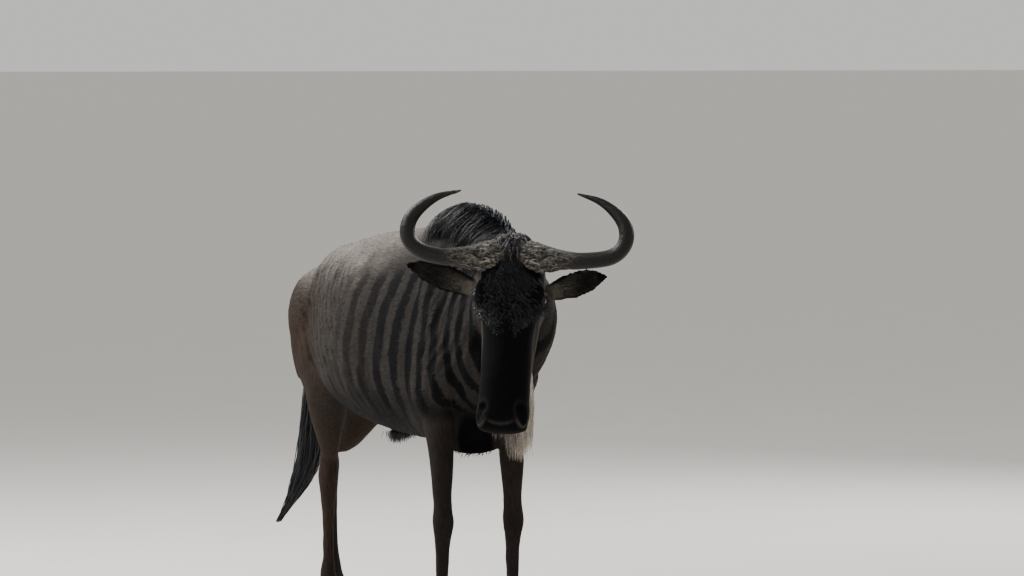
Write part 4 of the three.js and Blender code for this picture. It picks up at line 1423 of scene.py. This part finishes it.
class WILDEBEEST_OT_tail_hair(bpy.types.Operator):
    """Hang the tuft of the tail"""

    bl_idname = "wildebeest.tail_hair"
    bl_label = "Tail hair"

    def execute(self, context):
        rng = np.random.default_rng(51)
        count = context.scene.bull_sizes.tail_locks
        start = 0.3 + 0.36 * rng.random(count) ** 0.8
        end = 0.7 + 0.3 * rng.random(count) ** 0.55
        angle = rng.random(count) * 2 * math.pi
        s = np.linspace(0, 1, LOCK_ROWS)
        down = start[:, None] + (end - start)[:, None] * s
        line = spline(TAIL_POINTS, down.ravel()).reshape(count, LOCK_ROWS, 3)
        swell = 12 + 28 * rng.random(count)[:, None] * np.sin(math.pi * np.clip(s * 0.9, 0, 1))
        spread = swell * (1 - 0.9 * smooth(0.72, 1.0, down))
        out = columns(1.1 * np.cos(angle), np.sin(angle), 0.0)
        paths = line + out[:, None] * spread[..., None]
        paths = wavy(paths, rng.uniform(2, 8, count), rng, 0.9)
        across = columns(-out[:, 1], out[:, 0], 0.0)
        values = columns(0.97 + 0.04 * rng.normal(size=count), 0.0, 0.2, 0.0)
        roots = columns(angle / (2 * math.pi), start)
        half = rng.uniform(2.0, 6.0, count)
        material = coat_material("Tail hair, long and coarse", context.scene.bull_colours)
        lock_piece("tail_hair", paths, half, across, values, roots, material)
        return {"FINISHED"}


class WILDEBEEST_OT_ear_hair(bpy.types.Operator):
    """Line the ears with long pale hair"""

    bl_idname = "wildebeest.ear_hair"
    bl_label = "Ear hair"

    def execute(self, context):
        rng = np.random.default_rng(61)
        count = EAR_LOCKS
        t = rng.uniform(0.16, 0.86, count)
        height = rng.uniform(-1, 1, count)
        tall = np.interp(t, [0.1, 0.35, 0.5, 0.65, 0.86], [22, 36, 38, 36, 20])
        length = rng.uniform(12, 26, count) * (1.2 - 0.8 * t)
        stray = 0.15 * rng.normal(size=(count, 3))
        light = rng.uniform(0.1, 0.8, count) * smooth(0.6, 0.2, t) * (1 - np.abs(height) ** 1.5)
        values = columns(0.8 * (1 - light), light, 0.2, 0.0)
        roots = columns(t, height * 0.5 + 0.5)
        material = coat_material("Ear lining hair, soft", context.scene.bull_colours)
        for tip, (side, flip) in zip(EAR_TIPS, SIDES):
            at = EAR_BASE + (tip - EAR_BASE) * t[:, None]
            at = at + columns(-9 * (1 - height**2), 0.0, 4 + height * tall * 0.92)
            way = unit(unit(tip - EAR_BASE) + columns(0.5, 0.0, -0.5 * height) + stray)
            paths = from_crown(rays(at, way, length, 4) * [1, flip, 1])
            half = rng.uniform(0.4, 0.9, count)
            lock_piece(
                f"ear_hair_{side}", paths, half, CROWN_TURN[:, 2], values, roots, material
            )
        return {"FINISHED"}


def horn_form(reach):
    """The left horn, from inside the skull to its tip."""
    out = reach - HORN_THICK
    rings = [  # aside, up, ahead, half height and half depth
        (13, -11, -36, 30, 36),
        (50, -19, -28, 43, 45),
        (92, -27, -20, 41, 41),
        (140, -26, -8, 30, 31),
        (200, -27, 2, 24, 25),
        (out - 42, -13, 0, HORN_THICK + 1, 24),
        (out - 12, 11, -4, HORN_THICK, 23),
        (out - 1, 42, -8, HORN_THICK, HORN_THICK),
        (out - 8, 78, -16, 21, 21),
        (out - 36, 112, -25, 17, 17),
        (out - 81, 142, -33, 11, 11),
        (out - 146, HORN_RISE, -40, 3, 3),
    ]
    rings = [(ahead, aside, up, deep, high) for aside, up, ahead, high, deep in rings]
    return form(rings, across=FORWARD, sides=64, steps=18, domes=(6, 4))


class WILDEBEEST_OT_horns(bpy.types.Operator):
    """Make both horns, rough at the boss and smooth at the tip"""

    bl_idname = "wildebeest.horns"
    bl_label = "Horns"

    def execute(self, context):
        material = horn_material(context.scene.bull_colours)
        for side, flip in SIDES:
            points, faces = horn_form(HORN_REACH[side])
            far = smooth(90, 215, points[:, 1])
            ridge = 1 - 2 * np.abs(noise(points * [0.6, 1, 0.6], 13, 71))
            rough = 2.6 * ridge + 1.8 * noise(points, 6, 72)
            middle = points.copy()
            middle[:, [0, 2]] = HORN_CORE
            points = points + unit(points - middle) * (rough * (1 - far) - 1.2 * (1 - far))[:, None]
            shape = placed(on_side((points, faces), flip), from_crown)
            obj = piece(f"horn_{side}_worn", shape, [f"horn_{side}"], material)
            dress(obj, columns(far, 0.0, 0.0, 0.0), 1)
            grown = obj.data.attributes.new("grown", "FLOAT_VECTOR", "POINT")
            grown.data.foreach_set("vector", packed(points * MM * [1, 0.3, 1]))
        return {"FINISHED"}


def lid_ring():
    """The lids of the left eye as one ring round its opening, in the head's axes."""
    look = unit(np.array([0.22, 0.95, 0.2]))
    wide = np.array([1.0, -0.2, -0.3])
    wide = unit(wide - look * (wide @ look))
    tall = np.cross(wide, look)
    tall = tall * np.sign(tall[2])
    turn = np.arange(48) / 48 * 2 * math.pi
    high = (9.5 + 1.5 * (np.sin(turn) > 0)) * np.sin(turn) * (1 - 0.25 * np.cos(turn) ** 2)
    opening = columns(17.5 * np.cos(turn), high)
    way = unit(opening)
    way = way[:, :1] * wide + way[:, 1:] * tall
    rings = []
    for scale, radius in (  # how wide of the opening, and how far from the eye's centre
        (1.0, 19.2),
        (1.0, 20.8),
        (1.04, 23.2),
        (1.14, 24.4),
        (1.32, 24.4),
        (1.7, 23.6),
        (2.3, 21.5),
        (2.3, 17.0),
        (1.4, 18.2),
    ):
        bend = np.clip(np.hypot(*(opening * scale).T) / 24, 0, 2.2)[:, None] * 0.95
        rings.append(EYE_AT + radius * np.cos(bend) * look + radius * np.sin(bend) * way)
    return np.concatenate(rings), walls(len(rings), len(turn), wrap=True)


class WILDEBEEST_OT_eyes(bpy.types.Operator):
    """Make the eyes, and lids round them"""

    bl_idname = "wildebeest.eyes"
    bl_label = "Eyes and lids"

    def execute(self, context):
        wet = eye_material(context.scene.bull_colours)
        skin = coat_material("Bare lid skin, black", context.scene.bull_colours)
        for side, flip in SIDES:
            ball = placed(on_side(lump(EYE_AT, [EYE_RADIUS] * 3), flip), from_head)
            obj = piece(f"eyeball_{side}", ball, [f"eye_{side}"], wet)
            rounder = obj.modifiers.new("Round", "SUBSURF")
            rounder.levels = rounder.render_levels = 1
        lids = joined([placed(s, from_head) for s in both(lid_ring())])
        obj = piece("eyelids", lids, [], skin)
        dress(obj, np.tile([0.93, 0.0, 0.3, 0.0], (len(lids[0]), 1)), 1)
        return {"FINISHED"}


class WILDEBEEST_OT_hooves(bpy.types.Operator):
    """Make the eight claws of the hooves, flat on the ground"""

    bl_idname = "wildebeest.hooves"
    bl_label = "Hooves"

    def execute(self, context):
        material = hoof_material(context.scene.bull_colours)
        for foot, (x, y, wide, length) in FEET.items():
            for label, way in (("inner", -1), ("outer", 1)):
                width = wide / 2 - CLEFT
                rings = [
                    (20, 0, 90, 0.36 * width, 0.3 * length, 0.26 * length, 0.1),
                    (30, 0, 40, 0.44 * width, 0.42 * length, 0.36 * length, 0.14),
                    (40, 0, -12, 0.5 * width, 0.5 * length, 0.46 * length, 0.3),
                ]
                points, faces = form(rings, across=RIGHT, sides=32, square=2.4)
                # Cut flat at the ground, and aslant below the hair
                points[:, 2] = np.maximum(points[:, 2], 0)
                points[:, 2] = np.minimum(points[:, 2], 52 + 0.35 * (points[:, 0] - 28))
                points = points + [x, y + way * math.copysign(1, y) * (wide / 4 + CLEFT / 2), 0]
                piece(f"hoof_{label}_{foot}", (points, faces), [f"claw_{label}_{foot}"], material)
        return {"FINISHED"}


class WILDEBEEST_OT_stage(bpy.types.Operator):
    """Lay the floor, hang the lights and set up the camera"""

    bl_idname = "wildebeest.stage"
    bl_label = "Stage"

    def execute(self, context):
        scene, reach = context.scene, FLOOR_REACH
        mesh = bpy.data.meshes.new("floor")
        corners = [(-reach, -reach, 0), (reach, -reach, 0), (reach, reach, 0), (-reach, reach, 0)]
        mesh.from_pydata(corners, [], [(0, 1, 2, 3)])
        floor = bpy.data.objects.new("floor", mesh)
        mesh.materials.append(floor_material(scene.bull_colours))
        scene.collection.objects.link(floor)
        world = bpy.data.worlds.new("Studio")
        world.use_nodes = True
        back = world.node_tree.nodes["Background"]
        back.inputs["Color"].default_value = linear("#e9e8e6")
        back.inputs["Strength"].default_value = 0.85
        scene.world = world
        middle = Vector((0.0, 0.0, 0.8))
        for name, at, size, power in LAMPS:
            light = bpy.data.lights.new(name, "AREA")
            light.shape = "DISK"
            light.size = size
            light.energy = power
            lamp = bpy.data.objects.new(name, light)
            lamp.location = at
            lamp.rotation_mode = "QUATERNION"
            lamp.rotation_quaternion = (middle - Vector(at)).to_track_quat("-Z", "Y")
            lamp.visible_camera = False
            scene.collection.objects.link(lamp)
        camera = bpy.data.cameras.new("camera")
        camera.sensor_width = 36.0
        camera.lens = CAMERA_LENS
        camera.clip_end = 1000.0
        eye = bpy.data.objects.new("camera", camera)
        eye.location = Vector((CAMERA_AT + PLACE) * MM)
        level = math.cos(CAMERA_TILT)
        gaze = Vector((CAMERA_HEADING[0] * level, CAMERA_HEADING[1] * level, -math.sin(CAMERA_TILT)))
        eye.rotation_mode = "QUATERNION"
        eye.rotation_quaternion = gaze.to_track_quat("-Z", "Y")
        scene.collection.objects.link(eye)
        scene.camera = eye
        return {"FINISHED"}


class WILDEBEEST_PT_build(bpy.types.Panel):
    """Buttons and settings for the model"""

    bl_idname = "WILDEBEEST_PT_build"
    bl_label = "Wildebeest"
    bl_space_type = "VIEW_3D"
    bl_region_type = "UI"
    bl_category = "Wildebeest"

    def draw(self, context):
        for operator in OPERATORS:
            self.layout.operator(operator.bl_idname)
        for group in (context.scene.bull_sizes, context.scene.bull_colours):
            box = self.layout.box()
            for key in group.bl_rna.properties.keys():
                if key not in ("rna_type", "name"):
                    box.prop(group, key)


OPERATORS = (
    WILDEBEEST_OT_skin,
    WILDEBEEST_OT_coat,
    WILDEBEEST_OT_mane,
    WILDEBEEST_OT_beard,
    WILDEBEEST_OT_tail_hair,
    WILDEBEEST_OT_ear_hair,
    WILDEBEEST_OT_horns,
    WILDEBEEST_OT_eyes,
    WILDEBEEST_OT_hooves,
    WILDEBEEST_OT_stage,
)
CLASSES = (BullColours, BullSizes, *OPERATORS, WILDEBEEST_PT_build)


def register():
    for kind in CLASSES:
        bpy.utils.register_class(kind)
    bpy.types.Scene.bull_sizes = bpy.props.PointerProperty(type=BullSizes)
    bpy.types.Scene.bull_colours = bpy.props.PointerProperty(type=BullColours)


def unregister():
    del bpy.types.Scene.bull_colours
    del bpy.types.Scene.bull_sizes
    for kind in reversed(CLASSES):
        bpy.utils.unregister_class(kind)


def main():
    register()
    for operator in OPERATORS:
        call = getattr(bpy.ops.wildebeest, operator.bl_idname.split(".")[1])
        if call() != {"FINISHED"}:
            raise RuntimeError(f"{operator.bl_label} did not finish")


if __name__ == "__main__":
    main()
